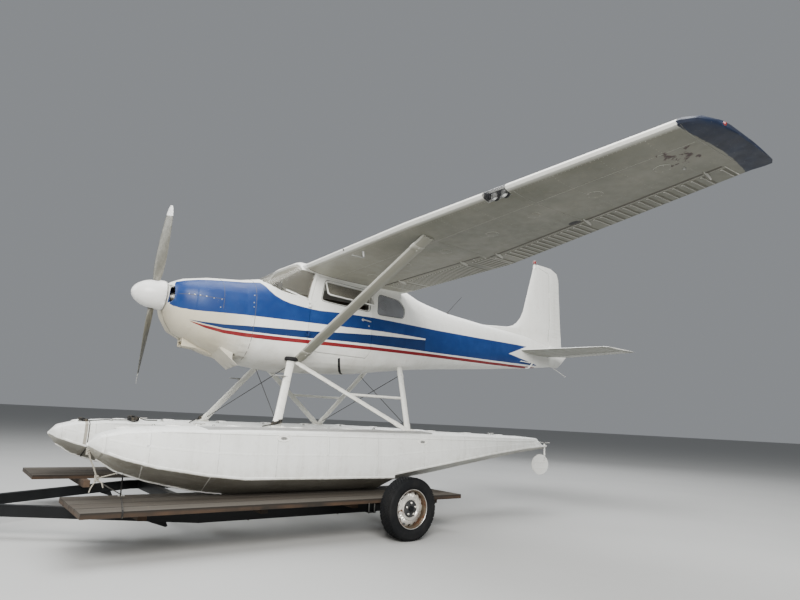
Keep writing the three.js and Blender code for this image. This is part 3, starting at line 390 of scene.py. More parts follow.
def float_paint():
    """White sides and deck over a bare, stained bottom."""
    g = Graph("float_paint", rough=0.4, coat=0.06)
    x, z = g.axis("X"), g.axis("Z")
    chine = g.curve(x, FLOAT_CHINE)
    side = g.above(z, g.math("ADD", chine, g.fit(g.noise(25.0), 0.3, 0.7, -0.001, 0.004)), 0.001)
    scuffs = g.fit(g.noise(2.6, 8.0, rough=0.7), 0.5, 0.68, 0.0, 0.22)
    white = g.mix(scuffs, (0.77, 0.78, 0.75), (0.52, 0.51, 0.46))
    near_chine = g.fit(g.math("SUBTRACT", z, chine), 0.0, 0.16, 0.4, 0.0)
    low = g.both(near_chine, g.fit(g.noise(14.0, 5.0), 0.35, 0.7))
    white = worn(g, g.mix(low, white, (0.38, 0.35, 0.27)), fade=0.08, grime=0.2, streaks=0.16)
    stain = g.noise(3.5, 7.0, stretch=(0.5, 1, 1))
    metal = g.mix(g.fit(stain, 0.35, 0.7), (0.37, 0.36, 0.315), (0.22, 0.205, 0.165))
    metal = g.mix(g.fit(g.noise(30.0, 6.0), 0.55, 0.7, 0.0, 0.5), metal, (0.43, 0.42, 0.38))
    rough = g.patchy(0.34, 0.55)
    return g.out(g.mix(side, metal, white), rough, sheet(g, 0.0022))


def bare_metal(name, colour, rough=0.38, brushed=(1, 1, 1), stain=0.4):
    g = Graph(name, rough=rough, metal=0.85)
    spots = g.fit(g.noise(24.0, 6.0, rough=0.7), 0.5, 0.75, 0.0, stain)
    tone = g.mix(spots, colour, tuple(0.35 * c for c in colour))
    grain = g.noise(190.0, 3.0, stretch=brushed)
    return g.out(tone, g.fit(grain, 0.3, 0.7, rough - 0.1, rough + 0.14), g.bump(grain, 0.0002, 0.4))


def rusty(name, paint, share=0.5, metal=0.3, rough=0.6):
    """Painted steel with rust that has come through."""
    g = Graph(name, rough=rough, metal=metal, gloss=0.35)
    patch = g.noise(9.0, 9.0, rough=0.72)
    rust = g.fit(patch, 0.72 - share * 0.3, 0.80 - share * 0.3)
    flame = g.mix(g.fit(g.noise(60.0, 5.0), 0.35, 0.65), RUST, (0.125, 0.060, 0.030))
    faded = g.mix(g.fit(g.noise(4.0), 0.4, 0.7, 0.0, 0.35), paint, tuple(3.0 * c for c in paint))
    colour = g.mix(rust, faded, flame)
    height = g.math("ADD", g.math("MULTIPLY", rust, g.noise(160.0, 5.0)), g.noise(500.0, 2.0))
    return g.out(colour, g.fit(rust, 0.0, 1.0, rough - 0.15, 0.85), g.bump(height, 0.0006, 0.6))


def rubber(name, colour=(0.018, 0.018, 0.019), dust=0.35):
    g = Graph(name, rough=0.82, gloss=0.2)
    grey = g.fit(g.noise(6.0, 7.0, rough=0.7), 0.45, 0.75, 0.0, dust)
    tone = g.mix(grey, colour, (0.07, 0.064, 0.055))
    return g.out(tone, g.patchy(0.68, 0.9, 20.0, 4.0), g.bump(g.noise(600.0, 3.0), 0.0004, 0.5))


def timber():
    """Weathered boards: grey on top, browner below, with long grain, knots and dark ends."""
    g = Graph("timber", rough=0.85, gloss=0.25)
    out = g.math("SUBTRACT", g.math("ABSOLUTE", g.axis("Y")), BOARDS_Y)
    across = g.math("DIVIDE", out, BOARD_PITCH)
    board = g.math("FLOOR", across)
    shade = g.math("FRACT", g.math("MULTIPLY", g.math("ADD", board, 3.3), 0.618))
    grain = g.noise(7.0, 9.0, stretch=(0.10, 7.0, 7.0), rough=0.7, warp=0.5)
    knots = g.cells(1.3, stretch=(1.0, 4.0, 2.0))
    ring = g.math("SINE", g.math("MULTIPLY", knots, 70.0))
    dark = g.fit(knots, 0.03, 0.09, 1.0, 0.0)
    tone = g.mix(g.fit(grain, 0.3, 0.72), (0.066, 0.055, 0.043), (0.020, 0.016, 0.012))
    tone = g.mix(g.math("MULTIPLY", shade, 0.5), tone, (0.082, 0.073, 0.061))
    place = g.math("FRACT", across)
    # Painted shade: each board darkens along its long edges, beside the gaps between boards.
    rim = g.either(g.fit(place, 0.035, 0.012), g.fit(place, 0.930, 0.958))
    tone = g.mix(g.math("MULTIPLY", rim, 0.85), tone, (0.012, 0.010, 0.008))
    fresh = g.both(g.fit(g.axis("Z"), 0.405, 0.385), g.fit(g.noise(2.0, 4.0), 0.4, 0.65))
    tone = g.mix(g.math("MULTIPLY", fresh, 0.6), tone, (0.095, 0.052, 0.028))
    tone = g.mix(g.math("MULTIPLY", dark, 0.8), tone, (0.05, 0.032, 0.022))
    rings = g.math("MULTIPLY", ring, g.fit(knots, 0.05, 0.2, 1.0, 0.0))
    height = g.math("ADD", grain, g.math("MULTIPLY", rings, 0.15))
    return g.out(tone, g.fit(grain, 0.3, 0.7, 0.72, 0.92), g.bump(height, 0.0022, 0.9))


def cloth(name, colour, other):
    g = Graph(name, rough=0.88)
    g.shader.inputs["Sheen Weight"].default_value = 0.3
    weave, weft = (g.bands(90.0, direction).outputs["Fac"] for direction in "XZ")
    thread = g.math("MULTIPLY", weave, weft)
    worn_part = g.fit(g.noise(6.0, 6.0), 0.4, 0.7, 0.0, 0.5)
    tone = g.mix(worn_part, g.mix(thread, colour, other), tuple(1.25 * c for c in colour))
    return g.out(tone, None, g.bump(thread, 0.0008, 0.6))


def glazing(name="glazing", colour=(0.31, 0.295, 0.245), clear=0.05, milky=0.42, rough=0.05):
    """Thin clear plastic with fine scratches: see-through face on, and bright at a low angle."""
    g = Graph(name, rough=rough)
    g.shader.inputs["IOR"].default_value = 1.49
    angle = g.put("ShaderNodeLayerWeight")
    angle.inputs["Blend"].default_value = 0.30
    haze = g.fit(g.noise(2.2, 6.0), 0.35, 0.75, 0.0, 0.10)
    cover = g.fit(angle.outputs["Fresnel"], 0.0, 1.0, clear, milky)
    g.feed(g.shader.inputs["Alpha"], g.math("ADD", cover, haze))
    tone = g.mix(g.fit(g.noise(7.0, 7.0), 0.4, 0.7), colour, tuple(0.86 * c for c in colour))
    scratches = g.noise(30.0, 6.0, stretch=(1, 1, 6))
    return g.out(tone, g.fit(scratches, 0.5, 0.8, rough, 0.16), g.bump(g.noise(2.5, 2.0), 0.0008, 0.4))


def lens(name, colour):
    """Coloured or clear glass of a small lamp, ribbed inside."""
    g = Graph(name, rough=0.08, coat=0.6)
    ribs = g.bands(60.0, "Z").outputs["Fac"]
    tone = g.mix(ribs, colour, tuple(0.55 * c for c in colour))
    return g.out(tone, None, g.bump(ribs, 0.0006, 0.5))


def braid(name, colour, other):
    """Laid rope: two strands' colours in fine slanting bands, with fuzz and dirt."""
    g = Graph(name, rough=0.9)
    strands = g.bands(70.0, "DIAGONAL")
    strands.inputs["Distortion"].default_value = 1.5
    tone = g.mix(strands.outputs["Fac"], colour, other)
    tone = g.mix(g.fit(g.noise(30.0, 5.0), 0.45, 0.75, 0.0, 0.4), tone, GRIME)
    return g.out(tone, None, g.bump(g.math("ADD", strands.outputs["Fac"], g.noise(700.0, 2.0)), 0.0009, 0.8))


def dark_trim(name="dark_trim", colour=(0.022, 0.023, 0.025), rough=0.6):
    g = Graph(name, rough=rough, gloss=0.3)
    tone = g.mix(g.fit(g.noise(14.0, 5.0), 0.4, 0.75, 0.0, 0.4), colour, (0.075, 0.07, 0.062))
    spread = g.patchy(rough - 0.1, rough + 0.15, 40.0, 4.0)
    return g.out(tone, spread, g.bump(g.noise(450.0, 3.0), 0.0003, 0.5))


def blade_paint():
    """Worn grey blades with white tips."""
    g = Graph("blade_paint", rough=0.42, metal=0.35)
    across = g.math("POWER", g.axis("Y"), 2.0)
    up = g.math("POWER", g.math("SUBTRACT", g.axis("Z"), 2.505), 2.0)
    radius = g.math("SQRT", g.math("ADD", across, up))
    tip = g.above(radius, g.fit(g.noise(20.0), 0.3, 0.7, 0.925, 0.935), 0.002)
    wear = g.fit(g.noise(22.0, 6.0, rough=0.7), 0.45, 0.7, 0.0, 0.5)
    grey = g.mix(wear, (0.160, 0.155, 0.130), (0.27, 0.26, 0.225))
    tone = g.mix(tip, grey, (0.74, 0.73, 0.71))
    rough = g.patchy(0.32, 0.5, 15.0)
    return g.out(tone, rough, g.bump(g.noise(300.0), 0.0003, 0.4))


MATERIALS = {
    "hull": hull_paint(),
    "white": plain_white(),
    # Stabiliser and elevator: white with painted shade on the faces that look down.
    "tail": plain_white("tail_paint_shaded_below", below=(0.24, 0.24, 0.20)),
    # Wing struts: a darker copy of the float struts' white, darker still on faces that look down, as painted
    # shade from the wing.
    "wing_strut": plain_white("shaded_wing_strut_paint", (0.66, 0.655, 0.60), grime=0.32, streaks=0.2,
                              ripple=0.0004, below=(0.20, 0.195, 0.155)),
    "strut": plain_white("strut_paint", (0.72, 0.715, 0.66), grime=0.32, streaks=0.2, ripple=0.0004),
    "wing": wing_paint(),
    "float": float_paint(),
    "blade": blade_paint(),
    "engine": bare_metal("engine_metal", (0.20, 0.20, 0.195), rough=0.5),
    "dull_wire": bare_metal("dull_wire", (0.10, 0.10, 0.098), rough=0.55),
    "steel": bare_metal("bright_steel", (0.58, 0.57, 0.54), rough=0.34),
    "black_steel": rusty("black_steel", (0.0045, 0.005, 0.0055), share=0.12),
    "wheel_steel": rusty("wheel_steel", (0.52, 0.50, 0.46), share=0.42, metal=0.6, rough=0.42),
    "rubber": rubber("tyre_rubber", (0.0045, 0.005, 0.0058), dust=0.12),
    "timber": timber(),
    "cloth": cloth("seat_cloth", (0.115, 0.095, 0.072), (0.17, 0.145, 0.115)),
    "glazing": glazing(),
    "lamp_glazing": glazing("lamp_glazing", (0.055, 0.056, 0.060), clear=0.30, milky=0.45),
    "rear_glazing": glazing("rear_glazing", (0.34, 0.35, 0.37), clear=0.5, milky=0.95),
    "trim": dark_trim(),
    "spinner": plain_white("spinner_paint", (0.72, 0.715, 0.69), grime=0.12, streaks=0.0, ripple=0.0004),
    "rim_rust": rusty("rim_rust", (0.075, 0.058, 0.038), share=0.75, metal=0.4, rough=0.6),
    # Painted shadow strips: dark lines laid beside raised laps, beads and gaps.
    "float_shadow": dark_trim("painted_float_lap_shadow", (0.42, 0.42, 0.40), rough=0.7),
    "wing_shadow": dark_trim("painted_wing_lap_shadow", (0.20, 0.195, 0.17), rough=0.7),
    "bead_shadow": dark_trim("bead_shadow", (0.112, 0.110, 0.088), rough=0.75),
    # Dark seam lines: real joints on the cowl and boards, painted shade in the wing's gaps.
    "seam": dark_trim("seam_and_gap_shadow_line", (0.085, 0.078, 0.066), rough=0.75),
    "dark_rubber": rubber("dark_rubber", (0.012, 0.012, 0.013), dust=0.15),
    "walkway": dark_trim("walkway_grit", (0.30, 0.30, 0.285), rough=0.85),
    "grey_metal": bare_metal("grey_metal", (0.42, 0.42, 0.40), rough=0.48, stain=0.3),
    "red_lens": lens("red_lens", (0.22, 0.010, 0.010)),
    "green_lens": lens("green_lens", (0.010, 0.22, 0.075)),
    "clear_lens": lens("clear_lens", (0.80, 0.80, 0.76)),
    "black_rope": braid("black_rope", (0.0035, 0.0035, 0.004), (0.008, 0.008, 0.0075)),
    "pale_rope": braid("pale_rope", (0.42, 0.40, 0.34), (0.24, 0.225, 0.19)),
}

NODE_LOOKS = {
    "hull": ("engine_cowling", "left_cowl_flap", "forward_fuselage", "cabin_roof", "cabin_belly",
             "rear_cabin", "left_door", "right_door", "tail_cone"),
    "white": ("fin", "rudder", "left_water_rudder", "right_water_rudder"),
    "tail": ("stabiliser", "elevator"),
    "wing_strut": ("left_wing_strut", "right_wing_strut"),
    "wing": ("left_wing", "right_wing", "left_flap", "right_flap", "left_aileron", "right_aileron"),
    "strut": ("left_front_float_strut", "right_front_float_strut",
              "left_rear_float_strut", "right_rear_float_strut", "left_diagonal_float_strut",
              "right_diagonal_float_strut", "front_spreader_bar", "rear_spreader_bar"),
    "float": ("left_float", "right_float"),
    "blade": ("propeller",),
    "engine": ("engine",),
    "steel": ("jockey_fork",),
    "dull_wire": ("front_bracing_wires", "rear_bracing_wires"),
    "black_steel": ("left_trailer_rail", "right_trailer_rail", "front_cross_member", "rear_cross_member",
                    "axle", "coupling"),
    "wheel_steel": ("left_wheel", "right_wheel"),
    "rubber": ("left_tyre", "right_tyre", "jockey_wheel"),
    "timber": ("left_board_deck", "right_board_deck"),
    "cloth": ("left_front_seat", "right_front_seat", "rear_seat"),
    "glazing": ("windshield", "left_door_window", "right_door_window"),
    "rear_glazing": ("left_rear_window", "right_rear_window"),
    "trim": ("instrument_panel",),
}


def placed(name, data):
    """A new object in the scene."""
    thing = bpy.data.objects.new(name, data)
    bpy.context.scene.collection.objects.link(thing)
    return thing


def smoother(degrees):
    """A node group that welds a mesh and shades it smooth, apart from edges over an angle."""
    name = f"smooth_{degrees}"
    if name in bpy.data.node_groups:
        return bpy.data.node_groups[name]
    tree = bpy.data.node_groups.new(name, "GeometryNodeTree")
    tree.interface.new_socket("Geometry", in_out="INPUT", socket_type="NodeSocketGeometry")
    tree.interface.new_socket("Geometry", in_out="OUTPUT", socket_type="NodeSocketGeometry")
    start = tree.nodes.new("NodeGroupInput")
    weld = tree.nodes.new("GeometryNodeMergeByDistance")
    weld.inputs["Distance"].default_value = 0.00002
    bare = tree.nodes.new("GeometryNodeRemoveAttribute")
    bare.inputs["Name"].default_value = "custom_normal"
    faces = tree.nodes.new("GeometryNodeSetShadeSmooth")
    faces.domain = "FACE"
    edges = tree.nodes.new("GeometryNodeSetShadeSmooth")
    edges.domain = "EDGE"
    edges.inputs["Shade Smooth"].default_value = False
    angle = tree.nodes.new("GeometryNodeInputMeshEdgeAngle")
    sharp = tree.nodes.new("FunctionNodeCompare")
    sharp.operation = "GREATER_THAN"
    sharp.inputs[1].default_value = math.radians(degrees)
    end = tree.nodes.new("NodeGroupOutput")
    link = tree.links.new
    link(start.outputs[0], weld.inputs["Geometry"])
    link(weld.outputs[0], bare.inputs["Geometry"])
    link(bare.outputs[0], faces.inputs["Geometry"])
    link(faces.outputs[0], edges.inputs["Geometry"])
    link(angle.outputs["Unsigned Angle"], sharp.inputs[0])
    link(sharp.outputs[0], edges.inputs["Selection"])
    link(edges.outputs[0], end.inputs[0])
    return tree


def smooth(thing, degrees=32):
    thing.modifiers.new("smooth", "NODES").node_group = smoother(degrees)


def dress_nodes():
    for look, names in NODE_LOOKS.items():
        for name in names:
            thing = NODES[name]
            thing.data.materials.clear()
            thing.data.materials.append(MATERIALS[look])
            smooth(thing)


# Building pieces

HULL_CENTRE = (0.0, 2.45)       # y, z of the middle of the hull's sections
# Where rays start, outside the model
FROM_ABOVE = 6.0
FROM_BESIDE = 3.0
BOX_FACES = ((0, 1, 3, 2), (4, 6, 7, 5), (0, 4, 5, 1), (2, 3, 7, 6), (0, 2, 6, 4), (1, 5, 7, 3))


class Skin:
    """The outside of some CAD nodes, so that a piece can be set on it by a ray."""

    def __init__(self, *names):
        points, faces = [], []
        for name in names:
            mesh = NODES[name].data
            start = len(points)
            points += [v.co.copy() for v in mesh.vertices]
            faces += [tuple(start + i for i in p.vertices) for p in mesh.polygons]
        self.tree = BVHTree.FromPolygons(points, faces)

    def hit(self, start, way):
        """The first spot, a point with its outward normal, on a line from start."""
        at, normal, _, _ = self.tree.ray_cast(Vector(start), Vector(way).normalized())
        if at is None:
            return None
        return at, (-normal if normal.dot(Vector(way)) > 0 else normal)

    def side(self, x, z, side=1):
        return self.hit((x, side * FROM_BESIDE, z), (0, -side, 0))

    def over(self, x, y):
        return self.hit((x, y, FROM_ABOVE), DOWN)

    def under(self, x, y, start=0.0):
        return self.hit((x, y, start), UP)

    def round(self, x, degrees, centre=HULL_CENTRE, reach=1.0):
        """The spot on the section at x, at an angle from +Y towards +Z."""
        y, z = math.cos(math.radians(degrees)), math.sin(math.radians(degrees))
        return self.hit((x, centre[0] + reach * y, centre[1] + reach * z), (0, -y, -z))

    def ring(self, x, first, last, step=3.0, centre=HULL_CENTRE, reach=1.0):
        count = max(2, round((last - first) / step) + 1)
        return kept(self.round(x, first + (last - first) * i / (count - 1), centre, reach)
                    for i in range(count))


def kept(spots):
    return [spot for spot in spots if spot is not None]


def angles(count, start=0.0):
    """Angles of a number of steps round a circle; start is a share of one step."""
    return [2 * math.pi * (k + start) / count for k in range(count)]


def in_plane(angle):
    """A direction in the plane of the wheels, from ahead towards up."""
    return Vector((math.cos(angle), 0, math.sin(angle)))


def stations(first, last, step=0.06):
    count = round(abs(last - first) / step) + 1
    return [first + (last - first) * i / (count - 1) for i in range(count)]


def curve_at(table, x):
    """The value at x of a table of (x, value) points, straight between them."""
    points = sorted(table)
    if x <= points[0][0]:
        return points[0][1]
    for (x0, z0), (x1, z1) in zip(points, points[1:]):
        if x <= x1:
            return z0 + (z1 - z0) * (x - x0) / (x1 - x0)
    return points[-1][1]


def lifted(spots, height):
    """The same spots of a surface, moved out along their normals."""
    return [(p + n * height, n) for p, n in spots]


def spots_round(p, n, radius, lift, count):
    """Spots on a circle round one spot of a surface."""
    u, v = square_to(n)
    return [(p + (u * math.cos(a) + v * math.sin(a)) * radius + n * lift, n) for a in angles(count)]


def evenly(spots, pitch):
    """Spots at an even pitch along a row of spots."""
    picked, spare = spots[:1], 0.0
    for (p, n), (q, m) in zip(spots, spots[1:]):
        length = (q - p).length
        at = pitch - spare
        while at <= length:
            picked.append((p.lerp(q, at / length), n.lerp(m, at / length).normalized()))
            at += pitch
        spare = length - (at - pitch)
    return picked


def rounded(corners, radius, steps=5):
    """A closed outline of (x, z) corners with each corner rounded off."""
    outline = []
    points = [Vector((*c, 0)) for c in corners]
    for i, here in enumerate(points):
        before, after = points[i - 1], points[(i + 1) % len(points)]
        reach = min(radius, (before - here).length / 2.1, (after - here).length / 2.1)
        a = here + (before - here).normalized() * reach
        b = here + (after - here).normalized() * reach
        for k in range(steps + 1):
            t = k / steps
            p = a.lerp(here, t).lerp(here.lerp(b, t), t)
            outline.append((p.x, p.y))
    return outline


def spread(outline, pitch):
    """A closed outline of (x, z) points with more points on its long sides."""
    made = []
    for (x0, z0), (x1, z1) in zip(outline, outline[1:] + outline[:1]):
        count = max(1, round(math.dist((x0, z0), (x1, z1)) / pitch))
        made += [(x0 + (x1 - x0) * i / count, z0 + (z1 - z0) * i / count) for i in range(count)]
    return made


def smooth_path(points, steps=6):
    """Points of one smooth line through the given ones."""
    points = [Vector(p) for p in points]
    ends = [2 * points[0] - points[1], *points, 2 * points[-1] - points[-2]]
    made = []
    for a, b, c, d in zip(ends, ends[1:], ends[2:], ends[3:]):
        for i in range(steps):
            t = i / steps
            made.append(0.5 * (2 * b + (c - a) * t + (2 * a - 5 * b + 4 * c - d) * t ** 2
                               + (3 * b - a - 3 * c + d) * t ** 3))
    return made + [points[-1]]


def square_to(way):
    """Two directions at right angles to a third."""
    way = Vector(way).normalized()
    other = AHEAD if abs(way.z) > 0.9 else UP
    u = other.cross(way).normalized()
    return u, way.cross(u)


class Piece:
    """One mesh made of many closed shapes, which rides on a CAD body."""

    def __init__(self, name, body=ROOT, slot="white_paint", looks=("hull",)):
        self.name, self.body, self.slot, self.looks = name, body, slot, looks
        self.points, self.faces, self.kinds = [], [], []
        self.look = 0

    def use(self, look):
        """Picks the look, one of the piece's own, of the shapes that follow."""
        self.look = self.looks.index(look)

    def shape(self, points, faces):
        start = len(self.points)
        self.points += [tuple(p) for p in points]
        self.faces += [tuple(start + i for i in face) for face in faces]
        self.kinds += [self.look] * len(faces)

    def loft(self, rings, closed=False, caps=True):
        """A skin through rings that have the same number of points each."""
        count, last = len(rings[0]), len(rings)
        faces = []
        for i in range(last if closed else last - 1):
            a, b = i * count, (i + 1) % last * count
            faces += [(a + k, a + (k + 1) % count, b + (k + 1) % count, b + k) for k in range(count)]
        if caps and not closed:
            faces.append(tuple(range(count)))
            faces.append(tuple((last - 1) * count + k for k in reversed(range(count))))
        self.shape([p for ring in rings for p in ring], faces)

    def box(self, low, high, turn=None):
        """A block between two corners, turned about its middle where asked."""
        (x0, y0, z0), (x1, y1, z1) = low, high
        corners = [Vector((x, y, z)) for x in (x0, x1) for y in (y0, y1) for z in (z0, z1)]
        if turn is not None:
            about = sum(corners, Vector()) / 8
            corners = [turn @ (c - about) + about for c in corners]
        self.shape(corners, BOX_FACES)

    def tube(self, points, radius, sides=8, closed=False, flat=1.0, up=None):
        """A round or flattened bar along a line of points."""
        points = [Vector(p) for p in points]
        radii = radius if isinstance(radius, (list, tuple)) else [radius] * len(points)
        u = None
        rings = []
        for i, p in enumerate(points):
            before = points[i - 1] if i or closed else p
            after = points[(i + 1) % len(points)] if i + 1 < len(points) or closed else p
            way = (after - before).normalized()
            if up is not None:
                u = Vector(up) - Vector(up).project(way)
            elif u is None:
                u = square_to(way)[0]
            u = (u - u.project(way)).normalized()
            v = way.cross(u)
            rings.append([p + u * math.cos(t) * radii[i] + v * math.sin(t) * radii[i] * flat
                          for t in angles(sides)])
        self.loft(rings, closed)

    def strip(self, spots, width, height, sink=0.0015, closed=False):
        """A thin raised band that follows a row of spots on a surface."""
        if len(spots) < 2:
            return
        rings = []
        for i, (p, n) in enumerate(spots):
            before = spots[i - 1][0] if i or closed else p
            after = spots[(i + 1) % len(spots)][0] if i + 1 < len(spots) or closed else p
            side = (after - before).cross(n).normalized()
            edge = side * (width / 2)
            top = side * (width / 2 - min(height, width / 4))
            rings.append([p - edge - n * sink, p - top + n * height, p + top + n * height,
                          p + edge - n * sink])
        self.loft(rings, closed)

    def dots(self, spots, radius, height, sides=6):
        """Low round heads, such as rivets and screws, on spots of a surface."""
        for p, n in spots:
            u, v = square_to(n)
            around = [u * math.cos(t) + v * math.sin(t) for t in angles(sides)]
            self.loft([[p + a * radius - n * 0.0008 for a in around],
                       [p + a * radius * 0.62 + n * height for a in around]])

    def row(self, spots, pitch, head, lift=0.0):
        """Rivets at an even pitch along a row of spots; head is their (radius, height)."""
        self.dots(lifted(evenly(spots, pitch), lift), *head)

    def lathe(self, profile, at, way, sides=32, ring=False):
        """A turned shape from (distance along way, radius) steps; a ring's profile is a closed loop."""
        u, v = square_to(way)
        way = Vector(way).normalized()
        at = Vector(at)
        rings = [[at + way * h + (u * math.cos(t) + v * math.sin(t)) * r
                  for t in angles(sides)] for h, r in profile]
        self.loft(rings, closed=ring)

    def plate(self, outline, thick):
        """A flat sheet from an outline of 3-D points and the vector of its thickness."""
        off = Vector(thick)
        self.loft([[Vector(p) for p in outline], [Vector(p) + off for p in outline]])

    def done(self, angle=32, bevel=0.0):
        mesh = bpy.data.meshes.new(self.name)
        mesh.from_pydata(self.points, [], self.faces)
        for look in self.looks:
            mesh.materials.append(MATERIALS[look])
        mesh.polygons.foreach_set("material_index", self.kinds)
        solid = bmesh.new()
        solid.from_mesh(mesh)
        bmesh.ops.recalc_face_normals(solid, faces=solid.faces)
        solid.to_mesh(mesh)
        solid.free()
        thing = placed(self.name, mesh)
        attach(thing, self.body)
        if bevel:
            edge = thing.modifiers.new("bevel", "BEVEL")
            edge.width = bevel
            edge.segments = 2
            edge.angle_limit = math.radians(40)
        smooth(thing, angle)
        return thing


HULL = Skin("engine_cowling", "forward_fuselage", "cabin_roof", "cabin_belly", "rear_cabin", "tail_cone",
            "left_door", "right_door", "windshield", "left_rear_window", "right_rear_window",
            "right_door_window")


# Fuselage

# Rivet heads: radius, height
HULL_RIVET = (0.0042, 0.0016)
FLOAT_RIVET = (0.0038, 0.0018)
KEEL_RIVET = (0.004, 0.002)
WING_RIVET = (0.0036, 0.0014)
DOOR_RIVET = (0.0040, 0.0015)
RIVET_PITCH = 0.034
# Rings of rivets round the hull: station x, first and last angle, width of the lap joint or 0
HULL_RINGS = (
    (1.962, -80, 260, 0.0), (0.283, -85, 16, 0.020), (0.283, 164, 265, 0.020), (-0.345, -85, 265, 0.016),
    (-0.722, -90, 269, 0.0), (-0.752, -90, 269, 0.024), (-1.14, -90, 269, 0.0), (-1.55, -90, 269, 0.018),
    (-2.02, -90, 269, 0.0), (-2.40, -90, 269, 0.018), (-2.86, -90, 269, 0.0), (-3.32, -90, 269, 0.018),
)
# Rows of rivets along the hull: angle, first and last station
HULL_ROWS = (
    (-55, 1.05, -0.72), (235, 1.05, -0.72), (-84, 1.95, -0.72), (264, 1.95, -0.72), (42, -0.78, -2.9),
    (138, -0.78, -2.9), (-38, -0.78, -3.6), (218, -0.78, -3.6), (2, -0.78, -3.3), (178, -0.78, -3.3),
    (68, -0.40, -0.72), (112, -0.40, -0.72),
)
# Cowl fasteners on both sides: station x, height z
CAMLOCKS = (
    (2.760, 2.492), (2.700, 2.494), (2.640, 2.493), (2.575, 2.490), (2.492, 2.480), (2.400, 2.480),
    (2.407, 2.386), (2.015, 2.591), (2.018, 2.500), (2.015, 2.449), (2.018, 2.330), (2.020, 2.220),
)
SPLIT_Z = 2.487                  # the cowl's upper and lower halves meet here
SPLIT_X = (2.852, 2.373)


def rivet_hull():
    rivets = Piece("fuselage_rivets", looks=("hull",))
    laps = Piece("fuselage_lap_joints", looks=("hull",))
    for x, first, last, wide in HULL_RINGS:
        spots = HULL.ring(x, first, last)
        if wide:
            laps.strip(spots, wide, 0.0012)
        rivets.row(spots, RIVET_PITCH, HULL_RIVET)
    for degrees, x0, x1 in HULL_ROWS:
        spots = kept(HULL.round(x0 + (x1 - x0) * i / 80, degrees) for i in range(81))
        rivets.row(spots, RIVET_PITCH * 1.2, HULL_RIVET)
    rivets.done()
    laps.done()


def close_cowl_flap():
    """The cheek that fills the wedge beside the open cowl flap."""
    flap, cowl = Skin("left_cowl_flap"), Skin("engine_cowling", "forward_fuselage")
    cheek = Piece("cowl_flap_cheek", looks=("hull",))
    rings = []
    for x in stations(2.285, 2.100, 0.03):
        low, high = flap.over(x, 0.316), cowl.under(x, 0.334)
        if low and high and high[0].z > low[0].z + 0.001:
            bottom, top = low[0].z - 0.003, high[0].z + 0.004
            rings.append([Vector((x, 0.3175, bottom)), Vector((x, 0.3210, bottom)),
                          Vector((x, 0.3300, top)), Vector((x, 0.3265, top))])
    cheek.loft(rings)
    cheek.done(30)


def seam_cowl():
    seams = Piece("cowl_seams", looks=("seam",))
    for side in (1, -1):
        row = kept(HULL.side(x, SPLIT_Z, side) for x in stations(*SPLIT_X, (SPLIT_X[0] - SPLIT_X[1]) / 23))
        seams.strip(row, 0.006, 0.0007)
    seams.strip(HULL.ring(1.990, -70, 250), 0.007, 0.0008)
    seams.strip(HULL.ring(SPLIT_X[1], -8, 188), 0.006, 0.0007)
    chin = [in_plane(math.radians(-12 - 3 * i)) for i in range(26)]
    split = kept(HULL.hit(Vector((2.45, -0.015, 2.42)) + out, -out) for out in chin)
    seams.strip(split, 0.009, 0.0016)
    edges = Piece("nose_bowl_edge", looks=("hull",))
    edges.strip(HULL.ring(2.665, -78, 258), 0.016, 0.0012)
    edges.dots(evenly(HULL.ring(2.655, -70, 250), 0.11), 0.006, 0.0018, sides=8)
    seams.done()
    edges.done()


def fasten_cowl():
    """Round fasteners with a slot in the head."""
    locks = Piece("cowl_fasteners", slot="bright_steel", looks=("steel", "trim"))
    for side in (1, -1):
        for x, z in CAMLOCKS:
            p, n = HULL.side(x, z, side)
            locks.use("steel")
            locks.dots([(p, n)], 0.0085, 0.003, sides=14)
            locks.use("trim")
            locks.strip([(p + AHEAD * d, n) for d in (-0.006, 0.006)], 0.0025, 0.0035, sink=-0.002)
    locks.done()


# Propeller and engine

PROP_AT = Vector((3.018, 0.0, 2.505))
PROP_LEAN = math.radians(-13)
SPINNER_REAR = 2.915
# Spinner: distance from its rear edge, radius
SPINNER = ((0.0, 0.166), (0.004, 0.171), (0.030, 0.172), (0.060, 0.171), (0.090, 0.1695), (0.120, 0.166),
           (0.155, 0.160), (0.190, 0.152), (0.225, 0.140), (0.255, 0.125), (0.285, 0.106), (0.310, 0.085),
           (0.330, 0.061), (0.342, 0.040), (0.349, 0.020), (0.352, 0.004))
BACKPLATE = ((-0.006, 0.168), (-0.001, 0.174), (0.006, 0.1745), (0.008, 0.172))
# Blade sections: radius, chord, thickness, pitch in degrees
BLADE = ((0.090, 0.078, 0.070, 58), (0.150, 0.080, 0.062, 54), (0.200, 0.096, 0.045, 49),
         (0.260, 0.122, 0.035, 44), (0.340, 0.143, 0.029, 39), (0.440, 0.155, 0.024, 34),
         (0.560, 0.160, 0.020, 30), (0.680, 0.158, 0.016, 26), (0.790, 0.151, 0.013, 23),
         (0.880, 0.138, 0.010, 20.5), (0.950, 0.120, 0.008, 19), (1.000, 0.098, 0.0065, 18),
         (1.032, 0.070, 0.0052, 17), (1.050, 0.034, 0.004, 17))
BLADE_COLLAR = ((-0.03, 0.050), (0.012, 0.050), (0.016, 0.046), (-0.03, 0.045))
# Crankcase and shaft: station x, radius
CRANKCASE = ((2.19, 0.10), (2.21, 0.125), (2.70, 0.125), (2.76, 0.10), (2.80, 0.062), (2.9095, 0.045))


